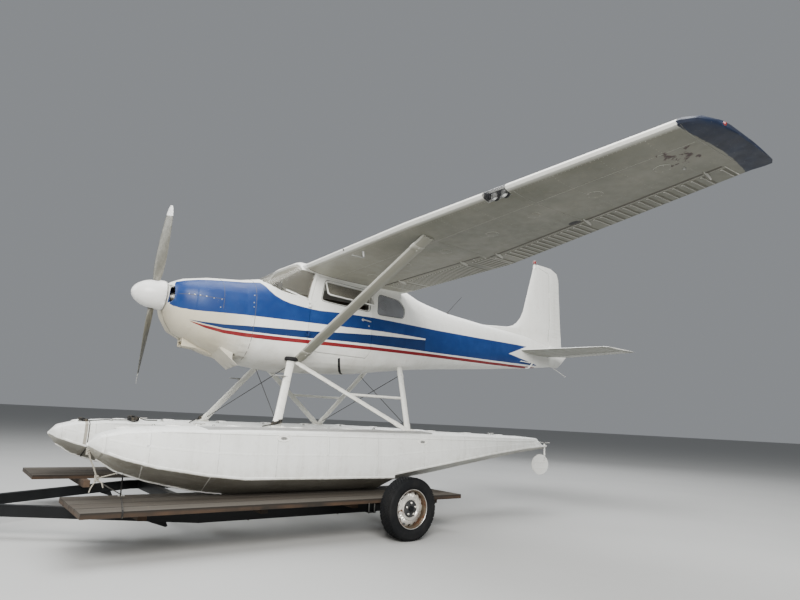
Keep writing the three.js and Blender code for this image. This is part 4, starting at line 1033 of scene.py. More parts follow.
def blade_ring(radius, chord, thick, pitch, turn, sides=18):
    """One section of a blade: round at the root and flat-backed further out."""
    angle = math.radians(pitch)
    flat = min(1.0, max(0.0, (radius - 0.12) / 0.15))
    ring = []
    for a in angles(sides):
        c, s = math.cos(a), math.sin(a)
        along = c * chord / 2
        out = s * thick / 2 * (1 + 0.30 * c * flat) * (1.0 if s > 0 else 1.0 - 0.5 * flat)
        ring.append(turn @ Vector((along * math.sin(angle) + out * math.cos(angle),
                                   out * math.sin(angle) - along * math.cos(angle), radius)) + PROP_AT)
    return ring


def build_propeller():
    prop = Piece("propeller_and_spinner", "propeller", "propeller_grey",
                 ("blade", "spinner", "grey_metal", "trim", "steel"))
    for half in (0, math.pi):
        turn = Matrix.Rotation(PROP_LEAN + half, 3, "X")
        prop.use("blade")
        prop.loft([blade_ring(*row, turn) for row in BLADE])
        outward = turn @ UP
        prop.use("trim")
        prop.lathe(BLADE_COLLAR, PROP_AT + outward * 0.150, outward, 24, ring=True)
    at = Vector((SPINNER_REAR, 0, PROP_AT.z))
    prop.use("spinner")
    prop.lathe(SPINNER, at, AHEAD, 64)
    prop.use("grey_metal")
    prop.lathe(BACKPLATE, at, AHEAD, 64)
    prop.use("steel")
    outs = [Vector((0, math.cos(a), math.sin(a))) for a in angles(20, 0.5)]
    prop.dots([(at + AHEAD * 0.020 + out * 0.1718, out) for out in outs], 0.006, 0.003, 8)
    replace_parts(prop.done(40), "propeller")


def add_cylinder(motor, x, side):
    """One finned cylinder with its exhaust stub and ignition lead."""
    barrel = [(0.0, 0.055)]
    for i in range(9):
        h = 0.015 + i * 0.013
        barrel += [(h, 0.056), (h + 0.001, 0.072), (h + 0.005, 0.072), (h + 0.006, 0.056)]
    barrel += [(0.135, 0.056), (0.138, 0.076), (0.19, 0.074), (0.205, 0.06)]
    motor.use("engine")
    motor.lathe(barrel, (x, side * 0.11, 2.475), (0, side, 0), 20)
    motor.use("trim")
    stub = ((x, side * 0.24, 2.41), (x, side * 0.25, 2.34), (x - 0.05, side * 0.22, 2.28))
    motor.tube(smooth_path(stub), 0.022, 10)
    lead = ((x, side * 0.22, 2.54), (x, side * 0.19, 2.575), (x - 0.1, 0, 2.597))
    motor.tube(smooth_path(lead), 0.004, 6)


def build_engine():
    """Flat six with finned cylinders, inside the cowling."""
    motor = Piece("flat_six_engine", slot="engine_metal",
                  looks=("engine", "grey_metal", "trim", "black_steel"))
    motor.use("grey_metal")
    rear = CRANKCASE[0][0]
    motor.lathe([(x - rear, r) for x, r in CRANKCASE], (rear, 0, PROP_AT.z), AHEAD, 24)
    motor.box((2.22, -0.105, 2.24), (2.68, 0.105, 2.44))
    for side in (1, -1):
        for x in (2.32, 2.49, 2.66):
            add_cylinder(motor, x, side)
        motor.use("black_steel")
        motor.tube(((2.22, side * 0.22, 2.27), (2.72, side * 0.22, 2.27)), 0.03, 12)
        motor.use("grey_metal")
        motor.box((2.70, side * 0.15 - 0.006, 2.40), (2.712, side * 0.33, 2.595))
    motor.use("black_steel")
    for y, z in ((-0.2, 2.26), (0.2, 2.26), (-0.2, 2.56), (0.2, 2.56)):
        motor.tube(((2.1005, y, z), (2.26, y * 0.55, z + (2.45 - z) * 0.4)), 0.012, 8)
        motor.lathe(((0.0, 0.022), (0.02, 0.022), (0.025, 0.018)), (2.1005, y, z), AHEAD, 12)
    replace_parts(motor.done(35), "engine")


# Road wheels

HUB = Vector((0.72, 2.0, 0.3175))
# Half the tyre's section: distance from its middle, radius
TYRE_SIDE = ((0.0, 0.3125), (0.040, 0.3120), (0.066, 0.3095), (0.078, 0.3040), (0.0855, 0.294),
             (0.0880, 0.286), (0.0900, 0.285), (0.0895, 0.280), (0.0915, 0.268), (0.0925, 0.255),
             (0.0915, 0.242), (0.0920, 0.236), (0.0900, 0.233), (0.0880, 0.222), (0.084, 0.213),
             (0.080, 0.207), (0.073, 0.203), (0.070, 0.200))
# Rows of the tread: distance from its middle, width and skew of a block
TREAD = ((-0.066, 0.017, 0.10), (-0.040, 0.021, -0.08), (-0.0135, 0.021, 0.05),
         (0.0135, 0.021, 0.05), (0.040, 0.021, -0.08), (0.066, 0.017, 0.10))
TREAD_BLOCKS = 60               # in one row
# Turned shapes of the wheel: distance outwards from its middle, radius
RIM = ((0.074, 0.1992), (0.0742, 0.193), (0.069, 0.189), (0.062, 0.184), (0.056, 0.178), (0.030, 0.1755),
       (-0.034, 0.1755), (-0.056, 0.178), (-0.062, 0.184), (-0.069, 0.189), (-0.074, 0.193),
       (-0.074, 0.1992), (-0.066, 0.1997), (0.066, 0.1997))
RIM_EDGE = ((0.0738, 0.1915), (0.0755, 0.1935), (0.0755, 0.1975), (0.0738, 0.1988))
DISC = ((0.026, 0.150), (0.030, 0.151), (0.036, 0.142), (0.041, 0.118), (0.050, 0.112), (0.053, 0.104),
        (0.050, 0.096), (0.040, 0.090), (0.036, 0.084), (0.031, 0.084), (0.035, 0.092), (0.045, 0.099),
        (0.047, 0.104), (0.044, 0.110), (0.036, 0.115), (0.031, 0.139))
DRUM = ((-0.030, 0.0205), (-0.030, 0.074), (0.010, 0.080), (0.030, 0.0895), (0.037, 0.0885), (0.040, 0.074),
        (0.044, 0.040), (0.043, 0.0205))
BACK_FLANGE = ((-0.028, 0.080), (-0.028, 0.130), (-0.034, 0.130), (-0.034, 0.080))
HUB_CAP = ((0.0432, 0.031), (0.058, 0.030), (0.064, 0.026), (0.067, 0.016), (0.068, 0.004))
NUT_SEAT = ((0.036, 0.015), (0.044, 0.0145), (0.045, 0.0125))
WHEEL_NUT = ((0.044, 0.0115), (0.056, 0.0115), (0.060, 0.008), (0.060, 0.005), (0.065, 0.0045))
# Spokes: radius, width as a share of their pitch, distance outwards
SPOKE = ((0.148, 0.90, 0.029), (0.156, 0.50, 0.027), (0.164, 0.42, 0.021), (0.176, 0.72, 0.010))
SPOKES = 14


def tread_block(at, turn, off, wide, skew, high):
    """One block of the tread, as three slices along its arc."""
    half = math.pi / TREAD_BLOCKS * 0.74
    rings = []
    for t in (-1, 0, 1):
        out = in_plane(turn + t * half)
        lean = t * skew * 0.03
        corners = ((0.3085, off - wide / 2 + lean), (0.3085, off + wide / 2 + lean),
                   (high, off + wide / 2 - 0.001 + lean), (high, off - wide / 2 + 0.001 + lean))
        rings.append([at + out * radius + Vector((0, y, 0)) for radius, y in corners])
    return rings


def side_lug(at, angle, face):
    """One small lug on the tyre's shoulder."""
    out = in_plane(angle)
    along = Vector((-math.sin(angle), 0, math.cos(angle))) * 0.0035
    up = (out * 0.5 + Vector((0, face, 0))).normalized() * 0.0035
    ends = [at + out * radius + Vector((0, face * y, 0))
            for radius, y in ((0.297, 0.0828), (0.3115, 0.0735))]
    return [[p - along - up, p + along - up, p + along + up, p - along + up] for p in ends]


def build_tyre(name, side):
    tyre = Piece(f"{name}_road_tyre", f"{name}_road_wheel", "tyre_rubber", ("rubber",))
    at = Vector((HUB.x, side * HUB.y, HUB.z))
    profile = [(-h, r) for h, r in reversed(TYRE_SIDE[1:])] + list(TYRE_SIDE)
    tyre.lathe(profile, at, (0, 1, 0), 96, ring=True)
    for row, (off, wide, skew) in enumerate(TREAD):
        high = 0.3172 if abs(off) < 0.06 else 0.3150
        for turn in angles(TREAD_BLOCKS, 0.5 * (row % 2)):
            tyre.loft(tread_block(at, turn, off, wide, skew, high))
    for angle in angles(90):
        for face in (1, -1):
            tyre.loft(side_lug(at, angle, face))
    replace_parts(tyre.done(28), f"{name}_tyre")


def spoke_rings(at, way, number):
    rings = []
    for radius, share, h in SPOKE:
        half = math.pi / SPOKES * share
        arc = [in_plane(2 * math.pi * number / SPOKES + half * t) * radius for t in (-1, -0.33, 0.33, 1)]
        rings.append([at + way * (h + 0.005) + out for out in arc]
                     + [at + way * h + out for out in reversed(arc)])
    return rings


def build_rim(name, side):
    wheel = Piece(f"{name}_road_wheel_rim", f"{name}_road_wheel", "wheel_steel",
                  ("rim_rust", "wheel_steel", "steel", "trim", "black_steel"))
    at, way = Vector((HUB.x, side * HUB.y, HUB.z)), Vector((0, side, 0))
    wheel.lathe(RIM, at, way, 72, ring=True)
    wheel.use("steel")
    wheel.lathe(RIM_EDGE, at, way, 72, ring=True)
    wheel.use("wheel_steel")
    for a in angles(28):
        out = in_plane(a)
        weld = [at + way * h + out * r for h, r in ((0.0415, 0.119), (0.0375, 0.138), (0.032, 0.149))]
        wheel.tube(weld, [0.0025, 0.0050, 0.0035], 6)
    wheel.lathe(DISC, at, way, 72, ring=True)
    for i in range(SPOKES):
        wheel.loft(spoke_rings(at, way, i))
    wheel.use("trim")
    wheel.lathe(DRUM, at, way, 48, ring=True)
    wheel.lathe(BACK_FLANGE, at, way, 48, ring=True)
    wheel.use("black_steel")
    wheel.lathe(HUB_CAP, at, way, 28)
    for a in angles(5, 0.25):
        spot = at + in_plane(a) * 0.060
        wheel.use("black_steel")
        wheel.lathe(NUT_SEAT, spot, way, 16)
        wheel.use("wheel_steel")
        wheel.lathe(WHEEL_NUT, spot, way, 6)
    valve = at + Vector((0.122, 0, 0.122)) + way * 0.030
    wheel.use("trim")
    wheel.tube((valve - way * 0.01, valve + way * 0.02 - Vector((0.008, 0, 0.008))), [0.006, 0.004], 8)
    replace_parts(wheel.done(30), f"{name}_wheel")


def build_road_wheels():
    for name, side in SIDES:
        build_tyre(name, side)
        build_rim(name, side)


# Floats

FLOAT_Y = 1.14
FLOAT_REACH = 0.72              # radius at which rays start round a float's section
FLOAT_DECK_Z = 1.04
FLOATS = Skin("left_float", "right_float")
FLOAT_FRAMES = (3.588, 3.256, 2.648, 2.05, 1.45, 0.80, 0.10, -0.62, -1.30, -1.95, -2.42)
WALKWAY = {"front": 2.74, "rear": -0.08, "middle": 0.185, "width": 0.235, "thick": 0.004}
FLOAT_OVALS = ((0.120, 0.975), (1.973, 0.980))      # x, z of the stowage recesses on the outer side
COVERS = (3.40, 2.95, 2.35, 1.62, 0.95, 0.30, -0.35, -1.00, -1.65)
COVER = ((-0.004, 0.078), (0.004, 0.078), (0.007, 0.073), (0.007, 0.060), (0.004, 0.058),
         (0.004, 0.030), (0.010, 0.026), (0.010, 0.004))
PUMP_PLUG = ((-0.003, 0.020), (0.005, 0.020), (0.008, 0.016), (0.020, 0.015), (0.024, 0.010), (0.025, 0.003))
CLEATS = (2.69, -1.55)
# A cleat's horn: distance along it, height
CLEAT_HORN = ((-0.068, 0.026), (-0.04, 0.024), (0, 0.023), (0.04, 0.024), (0.068, 0.026))
BOW_BUMPER = ((-0.012, 0.020), (0.012, 0.019), (0.020, 0.014), (0.024, 0.004))
GUNWALE_Z = 1.012


def float_side(x, z, keel, out):
    return FLOATS.hit((x, keel + out * 0.9, z), (0, -out, 0))


def float_edge(x, keel, out, height):
    """The spot on a float's side at a share of the way from chine to deck."""
    low = curve_at(FLOAT_CHINE, x)
    return float_side(x, low + (FLOAT_DECK_Z - low) * height, keel, out)


def section_middle(x, keel):
    """Y and z of the middle of a float's section."""
    return keel, (FLOATS.over(x, keel)[0].z + FLOATS.under(x, keel)[0].z) / 2


def rivet_float_frame(rivets, seams, keel, x):
    middle = section_middle(x, keel)
    ring = FLOATS.ring(x, -86, 266, 4, centre=middle, reach=FLOAT_REACH)
    seams.use("float")
    seams.strip(ring, 0.022, 0.0016)
    rivets.row(ring + ring[:1], 0.036, FLOAT_RIVET)
    # Painted shadow strips just aft of the frame's lap.
    seams.use("float_shadow")
    for first in (-60, 120):
        near = FLOATS.ring(x - 0.016, first, first + 120, 4, centre=middle, reach=FLOAT_REACH)
        seams.strip(near, 0.0035, 0.0005)


def rivet_float_side(rivets, seams, keel, out):
    """The side stringer, the chine, the gunwale and the bottom's rows, on one side of a float."""
    seams.use("float")
    row = kept(float_edge(x, keel, out, 0.52) for x in stations(3.56, -2.45))
    seams.strip(row, 0.020, 0.0016)
    rivets.row(row, 0.042, FLOAT_RIVET)
    # A painted shadow strip just below the stringer's lap.
    seams.use("float_shadow")
    seams.strip([(p - UP * 0.012, n) for p, n in row], 0.0035, 0.0006)
    seams.use("float")
    for front, rear in ((3.55, 0.545), (0.52, -2.45)):
        chine = kept(float_side(x, curve_at(FLOAT_CHINE, x) + 0.014, keel, out)
                     for x in stations(front, rear))
        seams.strip(chine, 0.026, 0.006)
        rivets.row(chine, 0.05, KEEL_RIVET, 0.006)
    gunwale = kept(float_side(x, GUNWALE_Z, keel, out) for x in stations(3.20, -2.30))
    seams.strip(gunwale, 0.018, 0.005)
    for share in (0.35, 0.68):
        bottom = kept(FLOATS.under(x, keel + out * 0.36 * share) for x in stations(3.1, 0.56))
        rivets.row(bottom, 0.06, KEEL_RIVET)
    seams.use("white")
    for x, sweep in ((3.219, 0.22), (2.630, 0.16)):
        lap = kept(FLOATS.hit((x + sweep * y, keel + out * y, 0.2), UP) for y in stations(0.02, 0.36, 0.03))
        seams.strip([(p, n) for p, n in lap if n.z < -0.3], 0.012, 0.002)


def rivet_floats():
    for name, side in SIDES:
        keel = side * FLOAT_Y
        rivets = Piece(f"{name}_float_rivets", looks=("float",))
        seams = Piece(f"{name}_float_seams", looks=("float", "float_shadow", "white"))
        for x in FLOAT_FRAMES:
            rivet_float_frame(rivets, seams, keel, x)
        for out in (1, -1):
            rivet_float_side(rivets, seams, keel, out)
        seams.use("white")
        keel_line = kept(FLOATS.under(x, keel) for x in stations(3.60, 2.42, 0.04))
        seams.strip(keel_line, 0.022, 0.008, sink=0.004)
        for off in (-0.18, 0.18):
            deck = kept(FLOATS.over(x, keel + off) for x in stations(3.45, -2.30))
            rivets.row(deck, 0.055, FLOAT_RIVET)
        rivets.done()
        seams.done()


def fit_deck_plates(deck, keel, side):
    """The walkway, the round hatch covers and the pump plugs."""
    middle = keel + side * WALKWAY["middle"]
    rows = kept(FLOATS.over(x, middle) for x in stations(WALKWAY["front"], WALKWAY["rear"]))
    deck.use("walkway")
    deck.strip(rows, WALKWAY["width"], WALKWAY["thick"])
    for x in COVERS:
        p, n = FLOATS.over(x, keel - side * 0.06)
        deck.use("white")
        deck.lathe(COVER, p, n, 32)
        deck.use("grey_metal")
        deck.dots(spots_round(p, n, 0.069, 0.006, 8), 0.0045, 0.003)
        plug = FLOATS.over(x + 0.13, keel - side * 0.25)
        if plug:
            deck.lathe(PUMP_PLUG, *plug, 18)


def fit_cleats(deck, y):
    deck.use("steel")
    for x in CLEATS:
        p = FLOATS.over(x, y)[0]
        for dx in (-0.028, 0.028):
            deck.tube((p + Vector((dx, 0, -0.004)), p + Vector((dx * 0.8, 0, 0.022))), [0.010, 0.007], 10)
        horn = smooth_path([p + Vector((dx, 0, dz)) for dx, dz in CLEAT_HORN], 3)
        deck.tube(horn, [0.004] + [0.0075] * (len(horn) - 2) + [0.004], 10, flat=0.8)


def fit_side_recesses(deck, keel, side):
    """Oval recesses with a bar across them."""
    for x, z in FLOAT_OVALS:
        p, n = float_side(x, z, keel, side)
        across = AHEAD.cross(n).normalized()
        rim = [p + n * 0.001 + AHEAD * math.cos(a) * 0.072 + across * math.sin(a) * 0.030
               for a in angles(36)]
        deck.use("white")
        deck.tube(rim, 0.0055, 8, closed=True)
        deck.plate([c - n * 0.001 for c in rim], n * 0.003)
        deck.use("grey_metal")
        deck.plate([c + (p - c) * 0.48 + n * 0.001 for c in rim], n * 0.002)
        deck.use("steel")
        deck.tube([p + n * 0.004 + AHEAD * dx for dx in (-0.035, 0, 0.035)], 0.004, 8)


def fit_bow(deck, keel):
    """The rubber nose and the mooring ring."""
    deck.use("white")
    bow = Vector((3.672, keel, 0.872))
    deck.lathe(BOW_BUMPER, bow, (1, 0, -0.05), 20)
    deck.use("steel")
    ring = [bow + Vector((-0.01, 0.012 * math.cos(a), -0.012 + 0.014 * math.sin(a))) for a in angles(14)]
    deck.tube(ring, 0.003, 6, closed=True)


def fit_water_rudder(name, keel):
    blade = Piece(f"{name}_water_rudder_fittings", f"{name}_water_rudder", "white_paint",
                  ("white", "steel", "trim"))
    rim = [Vector((-2.540 + 0.183 * math.cos(a), keel, 0.668 + 0.141 * math.sin(a))) for a in angles(40)]
    blade.tube(rim, 0.0085, 8, closed=True)
    for z in (0.62, 0.70):
        for out in (1, -1):
            blade.strip([(Vector((x, keel + out * 0.0075, z)), Vector((0, out, 0)))
                         for x in stations(-2.70, -2.40, 0.05)], 0.014, 0.003)
    blade.use("steel")
    for out in (1, -1):
        bolts = [Vector((-2.645 + 0.01 * i, keel + out * 0.0125, 0.80 - 0.035 * i)) for i in range(3)]
        blade.dots([(p, Vector((0, out, 0))) for p in bolts], 0.009, 0.005, 6)
    blade.tube(((-2.648, keel - 0.10, 0.992), (-2.648, keel + 0.10, 0.992)), 0.006, 8)
    blade.use("trim")
    blade.lathe(((-0.008, 0.021), (0.004, 0.021), (0.010, 0.016)), (-2.648, keel, 0.985), UP, 16)
    blade.done(34)


def fit_floats():
    for name, side in SIDES:
        keel = side * FLOAT_Y
        deck = Piece(f"{name}_float_deck_fittings",
                     looks=("white", "walkway", "steel", "grey_metal"))
        fit_deck_plates(deck, keel, side)
        fit_cleats(deck, keel - side * 0.10)
        fit_side_recesses(deck, keel, side)
        fit_bow(deck, keel)
        deck.done(34)
        fit_water_rudder(name, keel)


def cuff(piece, foot, top, wide, deep, start, length, bolts=2):
    """A sleeve round an oval strut, start metres from its foot towards its top."""
    way = (top - foot).normalized()
    u = (AHEAD - AHEAD.project(way)).normalized()
    v = way.cross(u)
    rings = []
    for h, grow in ((0.0, 0.0015), (0.004, 0.004), (length - 0.004, 0.004), (length, 0.0015)):
        at = foot + way * (start + h)
        rings.append([at + u * math.cos(a) * (wide / 2 + grow) + v * math.sin(a) * (deep / 2 + grow)
                      for a in angles(28)])
    piece.loft(rings)
    for i in range(bolts):
        for out in (1, -1):
            at = foot + way * (start + length * (i + 0.5) / bolts)
            piece.dots([(at + v * out * (deep / 2 + 0.004), v * out)], 0.009, 0.005, 6)


# Struts: foot, top, width, depth
STRUT_LINES = {
    "front": ((1.881, 1.122, 1.075), (1.410, 0.430, 1.900), 0.096, 0.044),
    "rear": ((0.050, 1.111, 1.090), (-0.313, 0.423, 1.925), 0.084, 0.040),
    "diagonal": ((0.124, 1.096, 1.128), (1.358, 0.436, 1.868), 0.070, 0.034),
    "wing": ((1.318, 0.474, 1.916), (1.111, 2.540, 3.044), 0.158, 0.060),
}


def dress_struts():
    made = Piece("strut_cuffs_and_bolts", looks=("strut", "steel", "wing_strut"))
    for side in (1, -1):
        for name, (foot, top, wide, deep) in STRUT_LINES.items():
            foot, top = (Vector((p[0], p[1] * side, p[2])) for p in (foot, top))
            # The wing struts take the darker copy of the white, which paints the wing's shade on them.
            made.use("wing_strut" if name == "wing" else "strut")
            cuff(made, foot, top, wide, deep, 0.10 if name == "wing" else 0.05, 0.075)
            cuff(made, foot, top, wide, deep, (top - foot).length - 0.15, 0.075)
        for x in (1.881, 0.050):
            made.use("strut")
            p = FLOATS.over(x, side * 1.135)[0]
            made.box(p + Vector((-0.085, -0.040, -0.004)), p + Vector((0.085, 0.040, 0.010)))
            made.use("steel")
            bolts = [p + Vector((dx, dy, 0.010)) for dx in (-0.065, 0.065) for dy in (-0.022, 0.022)]
            made.dots([(bolt, UP) for bolt in bolts], 0.010, 0.008, 6)
    made.done(34)


# Wings and tail

WINGS = Skin("left_wing", "right_wing")
SURFACES = Skin("left_flap", "right_flap", "left_aileron", "right_aileron")
RIBS = (0.80, 1.16, 1.52, 1.88, 2.24, 2.56, 2.98, 3.40, 3.86, 4.26, 4.66, 5.02, 5.26)
LAPPED_RIBS = (2.56, 3.86, 5.26)
SPARS = (0.045, 0.25, 0.62)              # shares of the chord
FLAP_END_Y = 2.54
CUT_SHARES = (0.64, 0.82)       # the cut ahead of flap and aileron lies between these
HINGE_Y = (1.071, 2.225, 2.70, 3.90, 5.05)      # hinge brackets of the flaps and ailerons
HINGE_CLEAR = 0.036             # no bead closer to a bracket than this
HINGE = ((0.05, 0.006), (0.03, -0.016), (-0.07, -0.034), (-0.09, -0.030), (-0.085, -0.012), (-0.03, 0.006))
# Beads: surface, first and last y, pitch, first and last share of the chord
BEADS = (("flap", 0.765, 2.505, 0.050, 0.750, 0.992), ("aileron", 2.60, 5.15, 0.080, 0.800, 0.990))
# Round covers below the wing: y, share of the chord
WING_COVERS = ((1.02, 0.44), (1.70, 0.44), (2.40, 0.44), (3.10, 0.44), (3.684, 0.40), (4.30, 0.44),
               (4.90, 0.44))
WING_COVER = ((-0.002, 0.068), (0.002, 0.068), (0.003, 0.062), (0.003, 0.004))
FUEL_CAP = ((-0.003, 0.062), (0.004, 0.062), (0.006, 0.056), (0.006, 0.040), (0.012, 0.036), (0.012, 0.004))
LENS = ((0.004, 0.018), (0.012, 0.017), (0.020, 0.013), (0.025, 0.007), (0.027, 0.002))
BELOW_WING = 2.4                # height from which rays are cast up at the wings


def wing_spot(y, side, share, top):
    """A spot on the wing's upper or lower side, at a share of the chord."""
    x = curve_at(WING_EDGE, y) - curve_at(WING_CHORD, y) * share
    return WINGS.over(x, side * y) if top else WINGS.under(x, side * y, BELOW_WING)


def before_cut(y, side, top, wide):
    """The spot half a strip's width ahead of the cut for the flap or aileron."""
    share, height = CUT_SHARES[0], None
    while share < CUT_SHARES[1]:
        spot = wing_spot(y, side, share, top)
        if not spot or (height is not None and abs(spot[0].z - height) > 0.006):
            break
        height = spot[0].z
        share += 0.002
    return wing_spot(y, side, share - 0.004 - 0.5 * wide / curve_at(WING_CHORD, y), top)


def rivet_wing_skin(rivets, laps, side, top):
    shift = Vector((0, side * 0.0165, 0))
    for y in RIBS:
        last = 0.70 if y < FLAP_END_Y else 0.76
        row = kept(wing_spot(y, side, 0.02 + (last - 0.02) * k / 24, top) for k in range(25))
        rivets.row(row, 0.036, WING_RIVET)
        if y in LAPPED_RIBS:
            laps.use("wing")
            laps.strip(row, 0.03, 0.0012)
            # A painted shadow strip just outboard of the rib's lap.
            laps.use("wing_shadow")
            laps.strip([(p + shift, n) for p, n in row], 0.003, 0.0004)
    for share in SPARS:
        row = kept(wing_spot(y, side, share, top) for y in stations(0.60, 5.26, 0.10))
        rivets.row(row, 0.036, WING_RIVET)
    seam = kept(wing_spot(y, side, 0.262, top) for y in stations(0.60, 5.26, 0.10))
    laps.use("wing")
    laps.strip(seam, 0.022, 0.0011)
    # A painted shadow strip just aft of the seam's lap.
    laps.use("wing_shadow")
    laps.strip([(p - AHEAD * 0.013, n) for p, n in seam], 0.003, 0.0004)


def bead_surface(name, side, surface, y0, y1, pitch, first, last):
    """Raised beads across a flap or aileron, each with a painted shadow strip beside it."""
    beads = Piece(f"{name}_{surface}_beads", f"{name}_{surface}", "white_paint", ("wing", "bead_shadow"))
    shift = Vector((0, side * 0.021, 0))
    for y in stations(y0, y1, pitch):
        if min(abs(y - hinge) for hinge in HINGE_Y) < HINGE_CLEAR:
            continue
        edge, chord = curve_at(WING_EDGE, y), curve_at(WING_CHORD, y)
        places = [edge - chord * (first + (last - first) * k / 5) for k in range(6)]
        for top in (True, False):
            spots = kept(SURFACES.over(x, side * y) if top else SURFACES.under(x, side * y, BELOW_WING)
                         for x in places)
            beads.use("wing")
            beads.strip(spots, 0.018, 0.0065, sink=0.002)
            beads.use("bead_shadow")
            beads.strip([(p + shift, n) for p, n in spots], 0.021, 0.0006)
    beads.done(60)


def rivet_wings():
    for name, side in SIDES:
        rivets = Piece(f"{name}_wing_rivets", looks=("wing",))
        laps = Piece(f"{name}_wing_panel_laps", looks=("wing", "wing_shadow"))
        for top in (True, False):
            rivet_wing_skin(rivets, laps, side, top)
        laps.done()
        rivets.done()
        for surface in BEADS:
            bead_surface(name, side, *surface)


def fit_hinges(bits, side):
    for y in HINGE_Y:
        p = wing_spot(y, side, 0.70 if y < FLAP_END_Y else 0.755, False)[0]
        bits.use("wing")
        bits.plate([p + Vector((dx, 0.006, dz)) for dx, dz in HINGE], (0, -0.012, 0))
        bits.use("steel")
        bits.dots([(p + Vector((-0.075, out * 0.006, -0.024)), Vector((0, out, 0))) for out in (1, -1)],
                  0.008, 0.005, 6)


def fit_wing_covers(bits, side):
    """Round covers and a dark oval below, the fuel cap on top, and a drain."""
    for y, share in WING_COVERS:
        p, n = wing_spot(y, side, share, False)
        bits.use("wing")
        bits.lathe(WING_COVER, p, n, 32)
        bits.use("steel")
        bits.dots(spots_round(p, n, 0.058, 0.002, 6), 0.004, 0.002)
    p, n = wing_spot(3.80, side, 0.735, False)
    bits.use("trim")
    across = n.cross(AHEAD).normalized()
    bits.plate([p + AHEAD * 0.040 * math.cos(a) + across * 0.066 * math.sin(a) - n * 0.001
                for a in angles(28)], n * 0.0025)
    p, n = wing_spot(1.35, side, 0.20, True)
    bits.use("grey_metal")
    bits.lathe(FUEL_CAP, p, n, 32)
    bits.use("trim")
    bits.tube([p + n * 0.012 + AHEAD * dx for dx in (-0.03, 0.03)], 0.005, 8)
    p, n = wing_spot(5.0, side, 0.55, False)
    bits.use("grey_metal")
    bits.tube((p + n * -0.002, p + n * 0.012), [0.012, 0.009], 12)


def fit_air_speed_tube(bits, side):
    """The air-speed tube on its mast, the stall warner in the leading edge and the fuel vent."""
    p = wing_spot(1.685, side, 0.066, False)[0]
    bits.use("grey_metal")
    bits.tube((p + Vector((0, 0, 0.01)), p + Vector((-0.010, 0, -0.060))), [0.020, 0.014], 14)
    mast = [p + Vector((dx, 0, dz)) for dx, dz in ((-0.010, -0.045), (-0.006, -0.066), (0.020, -0.072),
                                                   (0.15, -0.074))]
    bits.tube(smooth_path(mast, 5), 0.006, 10)
    bits.use("trim")
    bits.dots([(Vector((1.3855, 1.425, 3.114)), Vector((0.9, 0, -0.43)))], 0.014, 0.003, 14)
    bits.use("grey_metal")
    p = wing_spot(1.90, side, 0.30, False)[0]
    bits.tube((p, p + Vector((-0.03, 0, -0.04))), 0.005, 8)


def line_wing_gaps(bits, side):
    """Painted shadow strips in the gaps ahead of the flap and aileron, and at the root."""
    bits.use("seam")
    for y0, y1 in ((0.75, 2.52), (2.56, 5.18)):
        for top, wide in ((True, 0.012), (False, 0.026)):
            bits.strip(kept(before_cut(y, side, top, wide) for y in stations(y0, y1)), wide, 0.002)
    for top in (True, False):
        root = kept(wing_spot(0.578, side, 0.03 + 0.027 * k, top) for k in range(25))
        bits.strip(root, 0.010, 0.0012)


def fit_navigation_lamp(name, side):
    glass = "red_lens" if side > 0 else "green_lens"
    lamp = Piece(f"{name}_navigation_lamp", looks=("wing", glass))
    at = Vector((0.955, side * 5.425, 3.262))
    out = Vector((0.35, side, 0.1)).normalized()
    lamp.lathe(((-0.030, 0.034), (0.0, 0.032), (0.010, 0.022)), at, out, 24)
    lamp.use(glass)
    lamp.lathe(LENS, at, out, 24)
    lamp.done(40)


def fit_wings():
    for name, side in SIDES:
        bits = Piece(f"{name}_wing_fittings", looks=("wing", "steel", "trim", "grey_metal", "seam"))
        fit_hinges(bits, side)
        fit_wing_covers(bits, side)
        if side > 0:
            fit_air_speed_tube(bits, side)
        line_wing_gaps(bits, side)
        bits.done(34)
        fit_navigation_lamp(name, side)


LAMP_BAY = {"inner": 3.5735, "outer": 3.8265, "deep": 0.092}
LAMP_BOWL = ((0.0, 0.016), (0.020, 0.032), (0.028, 0.037), (0.032, 0.037), (0.032, 0.034), (0.024, 0.030),
             (0.006, 0.012))
LAMP_GLASS = ((0.022, 0.030), (0.029, 0.028), (0.034, 0.019), (0.036, 0.003))
LAMP_WAY = (1, 0, -0.10)


def bay_skin(y, shares):
    """Spots of the starboard wing's skin, on top from rear to front and back below."""
    chord = curve_at(WING_CHORD, y)
    shares = [s * LAMP_BAY["deep"] / chord for s in shares]
    return (kept(wing_spot(y, -1, s, True) for s in shares),
            kept(wing_spot(y, -1, s, False) for s in reversed(shares)))


